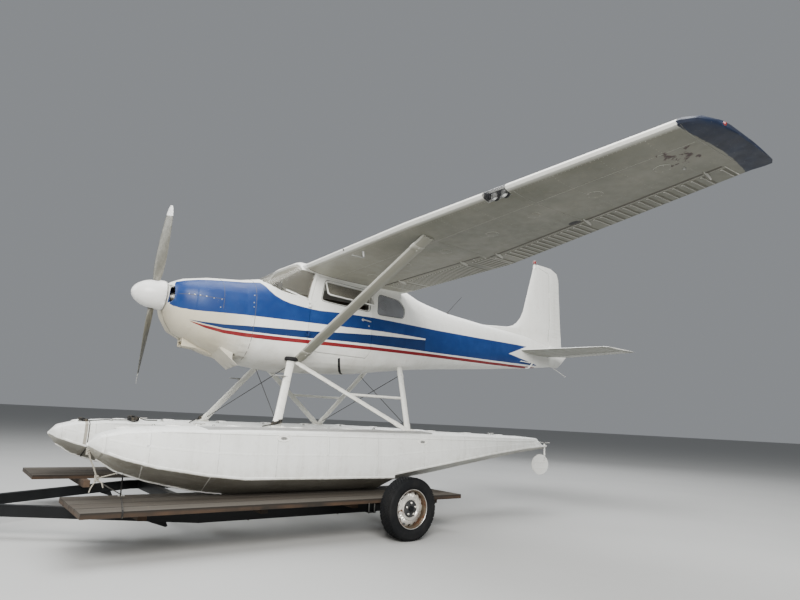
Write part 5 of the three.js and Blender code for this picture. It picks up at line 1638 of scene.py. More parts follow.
def light_bay():
    """Two landing lamps in the port leading edge, whose shape is cast on the starboard wing."""
    lamps = Piece("landing_lamps", looks=("grey_metal", "clear_lens", "trim"))
    low, high = (wing_spot(3.70, -1, 0.035, top)[0].z for top in (False, True))
    middle = (low + high) / 2
    for y in (3.665, 3.775):
        at = Vector((curve_at(WING_EDGE, y) - LAMP_BAY["deep"] + 0.004, y, middle - 0.022))
        lamps.use("trim")
        lamps.lathe(((-0.003, 0.040), (0.004, 0.040)), at, LAMP_WAY, 28)
        lamps.use("grey_metal")
        lamps.lathe(LAMP_BOWL, at, LAMP_WAY, 32, ring=True)
        lamps.use("clear_lens")
        lamps.lathe(LAMP_GLASS, at, LAMP_WAY, 32)
    lamps.use("trim")
    inner, outer = LAMP_BAY["inner"] + 0.003, LAMP_BAY["outer"] - 0.003
    walls = [WINGS.hit((1.60, y, middle), (-1, 0, 0))[0] for y in (inner, outer)]
    lamps.plate([Vector((walls[i].x + 0.001, walls[i].y, z))
                 for i, z in ((0, low + 0.010), (1, low + 0.010), (1, high - 0.008), (0, high - 0.008))],
                (0.002, 0, 0))
    for y, off in ((inner, 0.002), (outer, -0.002)):
        above, below = bay_skin(y, (0.96, 0.6, 0.3))
        end = [p - UP * 0.005 for p, _ in above] + [p + UP * 0.005 for p, _ in below]
        lamps.plate([Vector((p.x, y, p.z)) for p in end], (0, off, 0))
    lamps.done(40)
    cover = Piece("landing_lamp_cover", slot="clear_glazing", looks=("lamp_glazing",))
    rings = []
    for y in stations(LAMP_BAY["inner"], LAMP_BAY["outer"], 0.03):
        above, below = bay_skin(y, (1.0, 0.75, 0.5, 0.3, 0.15, 0.05, 0.01))
        outside = [Vector((p.x, y, p.z)) for p, _ in above + below]
        inward = [Vector((-0.0025, 0, -0.0015))] * len(above) + [Vector((-0.0025, 0, 0.0015))] * len(below)
        rings.append(outside + [p + d for p, d in reversed(list(zip(outside, inward)))])
    cover.loft(rings)
    cover.done(50)


FIN_SKIN = Skin("fin")
RUDDER_SKIN = Skin("rudder")
STAB_SKIN = Skin("stabiliser")
ELEVATOR_SKIN = Skin("elevator")
BELOW_TAIL = 1.8
BEACON_AT = Vector((-3.825, 0, 4.292))
BEACON_GLASS = ((0.0, 0.0325), (0.040, 0.0325), (0.052, 0.030), (0.060, 0.022), (0.064, 0.012),
                (0.065, 0.003))
WHIP_FOOT = Vector((-1.592, 0, 2.985))


def both_faces(skin):
    """Two casts, onto the top and the underside of the stabiliser or elevator."""
    return skin.over, lambda x, y: skin.under(x, y, BELOW_TAIL)


def rivet_tail():
    rivets = Piece("tail_rivets", looks=("white",))
    for side in (1, -1):
        rows = [[(x, z) for x in stations(-3.35, -4.24)] for z in (3.20, 3.45, 3.70, 3.95)]
        rows += [[(-3.46 - 0.33 * (z - 3.25) - lean * (0.72 - 0.22 * (z - 3.25)), z)
                  for z in stations(3.05, 4.12)] for lean in (0.06, 0.92)]
        for row in rows:
            rivets.row(kept(FIN_SKIN.side(x, z, side) for x, z in row), RIVET_PITCH, WING_RIVET)
        foot = kept(FIN_SKIN.side(x, 2.965, side) for x in stations(-2.6, -4.2))
        rivets.row(foot, 0.04, WING_RIVET)
        rows = [[(x, y) for x in stations(-3.28 - 0.215 * y, -4.05)] for y in (0.30, 0.62, 0.94, 1.26, 1.52)]
        rows += [[(-3.25 - 0.21 * y - (0.80 - 0.21 * y) * share, y) for y in stations(0.16, 1.58)]
                 for share in (0.10, 0.60, 0.93)]
        for row in rows:
            for cast in both_faces(STAB_SKIN):
                rivets.row(kept(cast(x, side * y) for x, y in row), RIVET_PITCH, WING_RIVET)
    rivets.done()


def bead_tail():
    """Raised beads on the rudder and elevator, and the rod that turns the rudder."""
    rudder = Piece("rudder_beads", "rudder", "white_paint", ("white", "spinner"))
    elevator = Piece("elevator_beads", "elevator", "white_paint", ("white",))
    for side in (1, -1):
        for z in stations(2.80, 4.07, 0.075):
            row = kept(RUDDER_SKIN.side(x, z, side) for x in stations(-4.30, -4.585 + (z - 2.8) * 0.03))
            rudder.strip(row, 0.014, 0.004, sink=0.002)
        for y in stations(0.34, 1.53, 0.085):
            for cast in both_faces(ELEVATOR_SKIN):
                row = kept(cast(x, side * y) for x in stations(-4.15, -4.575 + 0.08 * y))
                elevator.strip(row, 0.014, 0.004, sink=0.002)
    rudder.use("spinner")
    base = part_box("rudder")[0][2]
    rudder.tube(((-4.345, 0, base + 0.025), (-4.380, 0, base - 0.010), (-4.770, 0, 2.206)), 0.009, 10)
    rudder.done(60)
    elevator.done(60)


def fit_tail():
    beacon = Piece("tail_beacon", looks=("trim", "red_lens"))
    beacon.lathe(((-0.012, 0.036), (0.0, 0.036), (0.006, 0.033)), BEACON_AT, UP, 28)
    beacon.use("red_lens")
    beacon.lathe(BEACON_GLASS, BEACON_AT + UP * 0.004, UP, 28)
    beacon.done(40)
    bits = Piece("tail_fittings", looks=("white", "trim"))
    bits.use("trim")
    whip = smooth_path(((-1.590, 0, 2.985), (-1.600, 0, 3.005), (-1.75, 0, 3.160), (-1.905, 0, 3.312)), 5)
    bits.tube(whip, [0.007] + [0.0045] * (len(whip) - 2) + [0.002], 8)
    bits.lathe(((-0.006, 0.022), (0.006, 0.020), (0.014, 0.010)), WHIP_FOOT, (-0.1, 0, 1), 18)
    bits.use("white")
    for side in (1, -1):
        bracket = ((-3.66, side * 0.098, 2.390), (-3.625, side * 0.110, 2.350), (-3.54, side * 0.095, 2.262))
        bits.tube(bracket, 0.013, 10)
        bits.tube((bracket[-1], (-3.46, side * 0.090, 2.252)), 0.009, 8)
    bits.tube(((-3.54, -0.095, 2.264), (-3.54, 0.095, 2.264)), 0.010, 10)
    for side in (1, -1):
        start, end = (HULL.side(x, 2.356, side)[0] for x in (-3.277, -3.543))
        out = Vector((0, side * 0.030, 0))
        bits.tube(smooth_path((start, start + out, start.lerp(end, 0.5) + out, end + out, end), 5), 0.007, 8)
    bits.done(40)


# Doors, windows and cabin

DOOR_SKIN = {1: Skin("left_door"), -1: Skin("right_door")}
DOOR_LINE = ((1.100, 2.014), (1.200, 2.040), (1.272, 2.110), (1.262, 2.680), (1.185, 2.998), (0.303, 2.960),
             (0.303, 2.100), (0.360, 2.014))
DOOR_WINDOW = ((1.115, 2.682), (0.355, 2.650), (0.355, 2.925), (1.065, 2.953))
REAR_WINDOW = ((0.220, 2.628), (-0.285, 2.648), (-0.300, 2.800), (-0.190, 2.896), (0.210, 2.918))
WINDSHIELD_FOOT = ((1.875, 2.806), (1.786, 2.749), (1.694, 2.710), (1.558, 2.687), (1.305, 2.671))
PANE_HINGE_Y = 0.530
PANE_ANGLE = 35
FRAME_SCREW = (0.0042, 0.0018, 8)


def grown(outline, distance):
    """The same (x, z) outline with each edge moved outwards."""
    points = [Vector((x, z)) for x, z in outline]
    area = sum(a.x * b.y - b.x * a.y for a, b in zip(points, points[1:] + points[:1]))
    turn = 1 if area > 0 else -1
    made = []
    for i, here in enumerate(points):
        a = (here - points[i - 1]).normalized()
        b = (points[(i + 1) % len(points)] - here).normalized()
        na, nb = Vector((a.y, -a.x)) * turn, Vector((b.y, -b.x)) * turn
        made.append(tuple(here + (na + nb) * (distance / (1 + na.dot(nb)))))
    return made


def trace(outline, side, skin=HULL):
    return kept(skin.side(x, z, side) for x, z in outline)


def framed(corners, distance, radius, pitch=0.03, steps=6):
    """An outline beside a window or door, moved outwards and rounded."""
    return spread(rounded(grown(corners, distance), radius, steps), pitch)


def line_rudder():
    """A painted shadow strip along the gap between fin and rudder, on both sides."""
    gap = Piece("rudder_gap_shadow_line", looks=("bead_shadow",))
    low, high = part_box("fin")
    for side in (1, -1):
        spots = []
        for z in stations(low[2] + 0.10, high[2] - 0.20, 0.05):
            probe = kept(FIN_SKIN.side(x, z, side) for x in stations(low[0], low[0] + 0.50, 0.02))
            if probe:
                spots.append(probe[0])
        gap.strip(spots, 0.010, 0.0012)
    gap.done()


def frame_windows():
    frames = Piece("window_frames", looks=("hull", "dark_rubber", "steel"))
    for side in (1, -1):
        spots = trace(framed(REAR_WINDOW, 0.014, 0.070), side)
        frames.use("hull")
        frames.strip(spots, 0.022, 0.0025, closed=True)
        frames.use("steel")
        frames.dots(lifted(evenly(spots + spots[:1], 0.055), 0.002), *FRAME_SCREW)
        frames.use("dark_rubber")
        frames.strip(trace(framed(REAR_WINDOW, 0.002, 0.062), side), 0.006, 0.003, closed=True)
        frames.use("hull")
        foot = trace(spread([(x, z - 0.012) for x, z in WINDSHIELD_FOOT], 0.03)[:-8], side)
        frames.strip(foot, 0.020, 0.003)
        frames.use("steel")
        frames.dots(lifted(evenly(foot, 0.05), 0.0025), *FRAME_SCREW)
    frames.use("hull")
    top = kept(HULL.round(1.212, a) for a in range(58, 123, 4))
    frames.strip(top, 0.024, 0.003)
    frames.done()


def opened(point):
    """Where a point of the closed port window goes when it stands open about its upper edge."""
    (rear_x, rear_z), (front_x, front_z) = DOOR_WINDOW[2:]
    slope = math.atan2(front_z - rear_z, front_x - rear_x)
    hinge = Vector((rear_x, PANE_HINGE_Y, rear_z))
    turn = (Matrix.Rotation(-slope, 3, "Y") @ Matrix.Rotation(math.radians(PANE_ANGLE), 3, "X")
            @ Matrix.Rotation(slope, 3, "Y"))
    return turn @ (Vector(point) - hinge) + hinge


def fit_handle(door, skin, side):
    """The lever on its base, and the lock below it."""
    base, tail, lock = (skin.side(x, z, side)[0]
                        for x, z in ((0.455, 2.520), (0.330, 2.508), (0.352, 2.448)))
    out = Vector((0, side, 0))
    door.use("steel")
    door.lathe(((-0.003, 0.020), (0.006, 0.019), (0.012, 0.012), (0.018, 0.010)), base, out, 20)
    lever = smooth_path((base + out * 0.016, base.lerp(tail, 0.4) + out * 0.020, tail + out * 0.015), 5)
    door.tube(lever, [0.011] + [0.009] * (len(lever) - 2) + [0.006], 10, flat=0.55, up=UP)
    door.lathe(((-0.003, 0.012), (0.003, 0.011), (0.005, 0.006)), lock, out, 16)


def frame_pane(door, side):
    """The pane's own frame: opened on the port side, as in the photograph, and shut on the other."""
    outline = framed(DOOR_WINDOW, -0.007, 0.045, 0.04)
    pane = [Vector((p.x, -side * p.y, p.z)) for p, _ in trace(outline, -1)]
    if side < 0:
        door.tube(pane, 0.005, 8, closed=True)
        return
    door.tube([opened(p - Vector((0, 0.002, 0))) for p in pane], 0.0085, 8, closed=True)
    door.use("steel")
    door.tube((opened((0.70, 0.522, 2.672)), Vector((0.70, 0.535, 2.660))), 0.003, 6)
    latch = opened((1.10, 0.522, 2.80))
    door.tube((latch, latch + Vector((0.02, 0.0, -0.02))), 0.006, 8)
    door.use("white")
    hinge = [opened((x, PANE_HINGE_Y, z)) for x, z in ((0.40, 2.924), (0.66, 2.934), (1.02, 2.949))]
    door.tube([p + Vector((0, 0.004, 0.006)) for p in hinge], 0.005, 8)


def dress_doors():
    for name, side in SIDES:
        skin = DOOR_SKIN[side]
        door = Piece(f"{name}_door_details", f"{name}_door", "white_paint",
                     ("hull", "dark_rubber", "steel", "white"))
        door.row(trace(framed(DOOR_LINE, -0.022, 0.03, steps=4), side, skin), 0.036, DOOR_RIVET)
        for z in (2.20, 2.40):
            door.row(kept(skin.side(x, z, side) for x in stations(1.24, 0.33)), 0.04, DOOR_RIVET)
        door.use("dark_rubber")
        door.strip(trace(framed(DOOR_WINDOW, 0.010, 0.058), side, skin), 0.008, 0.004, closed=True)
        door.use("white")
        door.strip(trace(framed(DOOR_WINDOW, 0.020, 0.066), side, skin), 0.012, 0.0022, closed=True)
        fit_handle(door, skin, side)
        door.use("white")
        for z in (2.285, 2.655):
            door.strip([skin.side(x, z, side) for x in (1.255, 1.20)], 0.018, 0.003)
        frame_pane(door, side)
        door.done(34)


PANEL_X = 1.648                 # face of the instrument panel
AFT = (-1, 0, 0)
# A control wheel's rim: y and z from its middle
YOKE = ((-0.115, 0.095), (-0.130, 0.045), (-0.085, -0.015), (0.0, -0.030), (0.085, -0.015), (0.130, 0.045),
        (0.115, 0.095))


def fit_panel(inside):
    """Six round instruments on each side and a stack of radios between them."""
    for side in (1, -1):
        for y, z in ((side * (0.16 + 0.095 * i), 2.72 - 0.10 * row) for i in range(3) for row in range(2)):
            at = (PANEL_X, y, z)
            inside.use("grey_metal")
            inside.lathe(((0.0, 0.043), (0.008, 0.043), (0.010, 0.040), (0.004, 0.034)), at, AFT, 28)
            inside.use("clear_lens")
            inside.lathe(((0.001, 0.034), (0.005, 0.033)), at, AFT, 24)
            inside.use("white")
            inside.tube(((PANEL_X - 0.006, y, z), (PANEL_X - 0.006, y + 0.012, z + 0.022)), 0.0012, 5)
    for z in (2.52, 2.57, 2.62, 2.67, 2.72):
        inside.use("trim")
        inside.box((PANEL_X - 0.012, -0.085, z - 0.021), (PANEL_X + 0.002, 0.085, z + 0.021))
        inside.use("steel")
        for y in (-0.065, 0.065):
            inside.lathe(((0.0, 0.010), (0.014, 0.009), (0.016, 0.006)), (PANEL_X - 0.012, y, z), AFT, 14)


def fit_hood(inside):
    """The curved hood over the instrument panel."""
    inside.use("trim")
    rings = []
    for x, z in ((1.70, 2.815), (1.64, 2.822), (1.59, 2.812)):
        upper = [(y, -0.05 * (abs(y) / 0.42) ** 3) for y in stations(-0.42, 0.42)]
        lower = [(y, -0.012 + dz) for y, dz in reversed(upper)]
        rings.append([Vector((x, y, z + dz)) for y, dz in upper + lower])
    inside.loft(rings)


def fit_controls(inside, y):
    """One control wheel and its pair of pedals."""
    inside.use("steel")
    inside.tube(((PANEL_X, y, 2.600), (1.53, y, 2.600)), 0.012, 12)
    inside.use("trim")
    inside.tube(smooth_path([(1.525, y + dy, 2.600 + dz) for dy, dz in YOKE], 5), 0.0125, 10)
    inside.lathe(((-0.012, 0.030), (0.010, 0.030), (0.014, 0.024)), (1.525, y, 2.594), AFT, 20)
    inside.use("steel")
    lean = Matrix.Rotation(math.radians(25), 3, "Y")
    for pedal in (y - 0.06, y + 0.06):
        inside.box((1.66, pedal - 0.032, 2.05), (1.672, pedal + 0.032, 2.14), lean)
        inside.tube(((1.69, pedal, 2.05), (1.72, pedal, 2.00)), 0.008, 8)


def dress_cabin():
    inside = Piece("cabin_fittings", slot="dark_plastic",
                   looks=("trim", "steel", "white", "grey_metal", "clear_lens"))
    fit_panel(inside)
    fit_hood(inside)
    for side in (1, -1):
        fit_controls(inside, side * 0.25)
    inside.use("trim")
    inside.box((1.62, -0.02, 2.40), (PANEL_X, 0.02, 2.50))
    inside.done(34, bevel=0.0015)


# Padded seats

PAD_GRID = 0.010                # voxel size
PAD_PRESSURE = 4.0
PAD_CAP = 0.022                 # furthest that a point may move
PAD_FRAMES = 20
PAD_CUTS = 6                    # cuts across each side of the block that is blown up
PAD_POWER = 7.0                 # how square the block is: 2 is a ball
CHANNEL = {"deep": 0.009, "wide": 0.007}
FLOOR_TOP = 1.965
# Tubes of the seat frames: (x, z) of both ends
FRONT_SEAT_BARS = (((1.02, 2.19), (1.00, FLOOR_TOP)), ((0.64, 2.19), (0.66, FLOOR_TOP)),
                   ((1.03, 2.188), (0.60, 2.188)))
BENCH_BARS = (((0.10, 2.190), (-0.18, 2.190)), ((0.09, 2.190), (0.06, FLOOR_TOP)),
              ((-0.16, 2.190), (-0.18, FLOOR_TOP)))


def pad_block(low, high):
    """A rounded block, as a bmesh."""
    middle = Vector([(a + b) / 2 for a, b in zip(low, high)])
    size = Vector([b - a for a, b in zip(low, high)])
    solid = bmesh.new()
    bmesh.ops.create_cube(solid, size=1.0)
    bmesh.ops.subdivide_edges(solid, edges=solid.edges, cuts=PAD_CUTS, use_grid_fill=True)
    for v in solid.verts:
        p = v.co * 2
        length = sum(abs(c) ** PAD_POWER for c in p) ** (1 / PAD_POWER)
        p = p / max(length, 0.001)
        v.co = middle + Vector([a * b for a, b in zip(p, size)]) / 2
    return solid


def blow_up(thing):
    """Swells a closed mesh as a stuffed cover does, and applies the result."""
    scene = bpy.context.scene
    before = [v.co.copy() for v in thing.data.vertices]
    soft = thing.modifiers.new("cloth", "CLOTH")
    soft.settings.quality = 5
    soft.settings.use_pressure = True
    soft.settings.uniform_pressure_force = PAD_PRESSURE
    soft.settings.effector_weights.gravity = 0.0
    soft.settings.tension_stiffness = 12
    soft.settings.compression_stiffness = 12
    soft.point_cache.frame_start = 1
    soft.point_cache.frame_end = PAD_FRAMES
    for number in range(1, PAD_FRAMES + 1):
        scene.frame_set(number)
    view = thing.evaluated_get(bpy.context.evaluated_depsgraph_get())
    after = [v.co.copy() for v in view.data.vertices]
    thing.modifiers.remove(soft)
    for v, a, b in zip(thing.data.vertices, before, after):
        move = b - a
        if move.length > PAD_CAP:
            move *= PAD_CAP / move.length
        v.co = a + move
    scene.frame_set(1)


def sew_channels(thing, low, high, channels, axis):
    """Draws a pad's two large faces in along seams at shares of one axis."""
    thin = 2 if high[2] - low[2] < high[0] - low[0] else 0
    middle = (low[thin] + high[thin]) / 2
    for v in thing.data.vertices:
        for share in channels:
            at = low[axis] + (high[axis] - low[axis]) * share
            depth = CHANNEL["deep"] * math.exp(-((v.co[axis] - at) / CHANNEL["wide"]) ** 2)
            v.co[thin] -= math.copysign(depth, v.co[thin] - middle)


def make_pad(name, low, high, lean, about, channels, axis=1):
    """One cushion: a swollen block with sewn channels, leaning about a line along Y."""
    solid = pad_block(low, high)
    mesh = bpy.data.meshes.new(name)
    solid.to_mesh(mesh)
    solid.free()
    thing = placed(name, mesh)
    grid = thing.modifiers.new("grid", "REMESH")
    grid.mode = "VOXEL"
    grid.voxel_size = PAD_GRID
    view = thing.evaluated_get(bpy.context.evaluated_depsgraph_get())
    thing.data = bpy.data.meshes.new_from_object(view)
    thing.modifiers.clear()
    thing.data.name = name
    blow_up(thing)
    sew_channels(thing, low, high, channels, axis)
    turn = Matrix.Rotation(lean, 3, "Y")
    about = Vector(about)
    for v in thing.data.vertices:
        v.co = turn @ (v.co - about) + about
    thing.data.materials.clear()
    thing.data.materials.append(MATERIALS["cloth"])
    for polygon in thing.data.polygons:
        polygon.use_smooth = True
    finer = thing.modifiers.new("finer", "SUBSURF")
    finer.levels = finer.render_levels = 1
    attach(thing, ROOT)
    return thing


def seat_frame(name, ys, bars, skid=None):
    """Tubes below a seat, each a pair of (x, z) ends, and a skid on the floor, at every y."""
    legs = Piece(name, slot="dark_plastic", looks=("steel",))
    for y in ys:
        for (x0, z0), (x1, z1) in bars:
            legs.tube(((x0, y, z0), (x1, y, z1)), 0.012, 10)
        if skid:
            legs.box((skid[0], y - 0.012, 1.9605), (skid[1], y + 0.012, 1.970))
    legs.done(34)


def build_seats():
    for name, side in SIDES:
        y0, y1 = sorted((side * 0.065, side * 0.440))
        cushion = make_pad(f"{name}_front_cushion", (0.640, y0, 2.200), (1.060, y1, 2.280), 0.04,
                           (0.85, 0, 2.24), (0.33, 0.66))
        back = make_pad(f"{name}_front_backrest", (0.575, y0, 2.330), (0.640, y1, 2.785), -0.20,
                        (0.63, 0, 2.30), (0.3, 0.62), axis=2)
        seat_frame(f"{name}_front_seat_frame", (y0 + 0.05, y1 - 0.06), FRONT_SEAT_BARS, (0.55, 1.05))
        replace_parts(cushion, f"{name}_front_seat")
        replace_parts(back, f"{name}_front_seat")
    bench = make_pad("rear_bench_cushion", (-0.175, -0.415, 2.200), (0.125, 0.415, 2.275), 0.04,
                     (0, 0, 2.24), (0.5,))
    rest = make_pad("rear_bench_backrest", (-0.240, -0.395, 2.320), (-0.180, 0.395, 2.715), -0.20,
                    (-0.19, 0, 2.30), (0.5,))
    seat_frame("rear_bench_frame", (-0.36, 0.0, 0.36), BENCH_BARS)
    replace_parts(bench, "rear_seat")
    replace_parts(rest, "rear_seat")


# Ropes and straps

ROPE = 0.006                    # radius of the mooring ropes
COIL = {"x": 2.830, "y": -0.888, "radius": 0.064, "turns": 4, "rise": 0.0125}
COIL_STEPS = 20                 # points in one turn
KNOT = Vector((3.572, FLOAT_Y, 0.588))
KEEL_BOLT = ((-0.004, 0.012), (0.004, 0.012), (0.006, 0.007), (0.018, 0.006), (0.020, 0.002))


def rope(name, look, points, radius):
    """A free rope along its route: a curve whose own length is the rope's length."""
    data = bpy.data.curves.new(name, "CURVE")
    data.dimensions = "3D"
    data.bevel_depth = radius
    data.bevel_resolution = 3
    data.use_fill_caps = True
    spline = data.splines.new("POLY")
    spline.points.add(len(points) - 1)
    for spot, p in zip(spline.points, points):
        spot.co = (*p, 1.0)
    data.materials.append(MATERIALS[look])
    thing = placed(name, data)
    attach(thing, ROOT)


def on_deck(x, y, lift):
    return Vector((x, y, FLOATS.over(x, y)[0].z + lift))


def lay_deck_rope():
    """Black rope on the far float's deck: from the hitch to a round coil, and its free end."""
    lift = ROPE + 0.001
    edge = COIL["y"] - COIL["radius"]
    points = [on_deck(3.335 - 0.0405 * i, edge + 0.010 * math.sin(0.8 * i) * (i < 9), lift)
              for i in range(12)]
    for k in range(COIL_STEPS * COIL["turns"] + 1):
        a = -math.pi / 2 - 2 * math.pi * k / COIL_STEPS
        x, y = COIL["x"] + COIL["radius"] * math.cos(a), COIL["y"] + COIL["radius"] * math.sin(a)
        points.append(on_deck(x, y, lift + COIL["rise"] * k / COIL_STEPS))
    top = points[-1]
    for i in range(1, 11):
        x, y = top.x - 0.030 * i, top.y + 0.003 * i
        share = max(0.0, 1 - i / 6)
        ease = share * share * (3 - 2 * share)
        ground = on_deck(x, y, lift).z
        points.append(Vector((x, y, ground + (top.z - ground) * ease)))
    rope("deck_rope", "black_rope", points, ROPE)


def hang_rope_ends():
    """The two free ends below the near bow rope's knot."""
    ends = (("bow_rope_end_long", (0.004, 0.0, -0.024),
             ((0, 0, 0), (0.012, 0.004, -0.020), (0.030, 0.006, -0.052), (0.042, 0.006, -0.095))),
            ("bow_rope_end_short", (-0.012, 0.0, -0.022),
             ((0, 0, 0), (-0.014, 0.010, -0.006), (-0.032, 0.018, -0.020), (-0.046, 0.022, -0.058))))
    for name, start, route in ends:
        start = KNOT + Vector(start)
        points = smooth_path([start + Vector(step) for step in route], 5)
        rope(name, "pale_rope", points, ROPE)


def turns_of_rope(piece, centre, wide, deep, tall, turns):
    """Turns of rope wound on each other, as in a hitch or knot."""
    path = []
    for k in range(14 * turns + 1):
        a = 2 * math.pi * k / 14
        path.append(centre + Vector((wide * math.cos(a) * (1 + 0.12 * math.sin(0.37 * k)),
                                     deep * math.sin(a) * (1 + 0.10 * math.cos(0.53 * k)),
                                     tall * (k / (14 * turns) - 0.5) + 0.003 * math.sin(2.3 * a))))
    piece.tube(path, ROPE, 8)


def eye_bolt(piece, foot, way, wide, rise, tall, radius):
    """A half ring that stands on the deck or the boards."""
    piece.tube([foot + way * wide * math.cos(a) + UP * (rise + tall * math.sin(a))
                for a in (math.pi * k / 8 for k in range(9))], radius, 8)


def tie_near_bow():
    """The doubled rope from the bow ring to its knot, and the strap from there to the boards."""
    tie = Piece("near_bow_rope", slot="seat_cloth", looks=("pale_rope", "steel", "grey_metal"))
    ring = Vector((3.672, FLOAT_Y, 0.860))
    for off in (-0.0065, 0.0065):
        route = (ring + Vector((0, off, 0.004)), Vector((3.648, FLOAT_Y - off, 0.760)),
                 Vector((3.614, FLOAT_Y + off, 0.692)), KNOT + Vector((0.006, off, 0.02)))
        tie.tube(smooth_path(route), ROPE, 8)
    turns_of_rope(tie, ring - UP * 0.045, 0.013, 0.015, 0.050, 3)
    turns_of_rope(tie, KNOT, 0.015, 0.017, 0.044, 3)
    keel = FLOATS.under(3.411, FLOAT_Y)[0]
    tie.tube((KNOT - AHEAD * 0.01, keel + Vector((0.006, 0, -0.012))), ROPE * 0.9, 8)
    tie.use("steel")
    tie.lathe(KEEL_BOLT, keel, DOWN, 14)
    eye = Vector((3.311, 0.989, BOARD_TOP))
    tie.box(eye - Vector((0.028, 0.020, 0.002)), eye + Vector((0.028, 0.020, 0.004)))
    eye_bolt(tie, eye, Vector((0, 1, 0)), 0.013, 0.004, 0.016, 0.0035)
    tie.use("grey_metal")
    strap = [KNOT + Vector((-0.006, -0.004, -0.018)), KNOT.lerp(eye, 0.5) + Vector((0, 0, -0.004)),
             eye + Vector((0.004, 0, 0.014))]
    way = (strap[2] - strap[0]).normalized()
    across = way.cross(UP).normalized()
    tie.strip([(p, way.cross(across).normalized()) for p in strap], 0.022, 0.003)
    tie.done(34)


def lash_boards():
    """The black lashing from the near keel, over the boards and round their edge."""
    lash = Piece("black_board_lashing", slot="dark_plastic", looks=("black_rope", "steel"))
    foot = FLOATS.under(3.360, FLOAT_Y)[0]
    over, under = BOARD_TOP + 0.006, 0.3585
    start = Vector((3.322, 1.010, over))
    lash.tube((foot + UP * 0.002, start), 0.0065, 8)
    inner, outer = BOARD_OUT - 0.010, BOARD_OUT + 0.006
    lash.tube((start, (3.400, 1.400, over), (3.500, inner, over), (3.502, outer, BOARD_TOP - 0.006),
               (3.502, outer, 0.366), (3.500, inner, under), (3.430, 1.560, under)), 0.0065, 8)
    lash.use("steel")
    lash.lathe(((-0.004, 0.011), (0.004, 0.011), (0.008, 0.007)), foot, DOWN, 14)
    lash.done(34)


def strap_far_bow():
    """A pale strap and a black rope round the far float, with a hitch on the deck."""
    x, middle = 3.340, section_middle(3.340, -FLOAT_Y)
    band = Piece("far_bow_strap", slot="seat_cloth", looks=("pale_rope", "black_rope"))
    band.strip(FLOATS.ring(x, 0, 356, 4, centre=middle, reach=FLOAT_REACH), 0.036, 0.003, closed=True)
    band.use("black_rope")
    near = lifted(FLOATS.ring(x - 0.030, 0, 356, 4, centre=middle, reach=FLOAT_REACH), 0.0055)
    band.tube([p for p, _ in near], 0.0055, 8, closed=True)
    turns_of_rope(band, on_deck(3.385, -1.0, 0.022), 0.030, 0.052, 0.030, 3)
    turns_of_rope(band, on_deck(3.352, -0.955, 0.018), 0.024, 0.030, 0.022, 2)
    band.tube([on_deck(3.36 - 0.005 * i, -0.955 - 0.008 * i, 0.0075) for i in range(6)], ROPE, 8)
    band.done(34)


def tie_strut_feet():
    """Three turns of black rope round each front strut's foot, and their line to an eye."""
    lines = Piece("strut_foot_lines", slot="dark_plastic", looks=("black_rope", "steel"))
    for side, eye_x, eye_y in ((1, 2.070, 1.180), (-1, 2.150, 0.830)):
        foot = Vector((1.881, side * 1.122, 1.100))
        ring = [foot + Vector((0.056 * math.cos(a), 0.043 * math.sin(a), 0.020 - 0.016 * math.cos(a)))
                for a in angles(20)]
        lines.use("black_rope")
        for rise in (0.0, 0.012, 0.024):
            lines.tube([p + Vector((-0.16 * rise, 0, rise)) for p in ring], 0.0065, 8, closed=True)
        eye = on_deck(eye_x, side * eye_y, 0.0)
        lines.tube((foot + Vector((0.052, 0, 0.008)), eye + Vector((-0.002, 0, 0.012))), 0.0065, 8)
        lines.use("steel")
        eye_bolt(lines, eye, AHEAD, 0.010, 0.001, 0.014, 0.003)
        lines.lathe(((-0.003, 0.018), (0.002, 0.018), (0.004, 0.012)), eye, UP, 14)
    lines.done(34)


def fit_boots():
    """Black sleeves at the front strut roots, the boarding steps and the strap across the belly."""
    boots = Piece("strut_root_boots", slot="dark_plastic",
                  looks=("dark_rubber", "grey_metal", "walkway"))
    for side in (1, -1):
        rings = []
        for h, grow in ((-0.014, 0.0), (-0.006, 0.012), (0.016, 0.012), (0.030, 0.006), (0.034, 0.0)):
            rings.append([Vector((1.425 + (0.078 + grow) * math.cos(a),
                                  side * (0.455 + (0.044 + grow) * math.sin(a)), 1.885 + h))
                          for a in angles(28)])
        boots.loft(rings)
        boots.use("grey_metal")
        at = Vector((1.552, side * 0.655, 1.652))
        boots.tube((at, at + Vector((0.080, -side * 0.016, 0.004))), 0.011, 10)
        boots.use("walkway")
        boots.box(at + Vector((0.040, -0.040, 0.006)), at + Vector((0.180, 0.024, 0.018)))
        boots.use("dark_rubber")
    band = kept(HULL.under(0.765 - 0.368 * t, 0.505 - 0.491 * t) for t in (k / 40 for k in range(41)))
    boots.strip(band, 0.035, 0.006)
    boots.done(40, bevel=0.0015)


# Trailer

BEARER_X = (3.28, 2.18, 1.14, 0.02)
RAIL_BOLT_X = (2.18, 1.14, 0.02)
AXLE_X = 0.72
RAIL_Y = 1.30
# Splits in the boards' ends: x of the end, y on the board, length
SPLITS = ((3.79, 0.06, 0.30), (3.79, 0.16, 0.16), (3.79, 0.10, 0.24), (3.79, 0.19, 0.34),
          (-0.17, 0.05, 0.22), (-0.17, 0.14, 0.30), (-0.17, 0.09, 0.16), (-0.17, 0.18, 0.26))
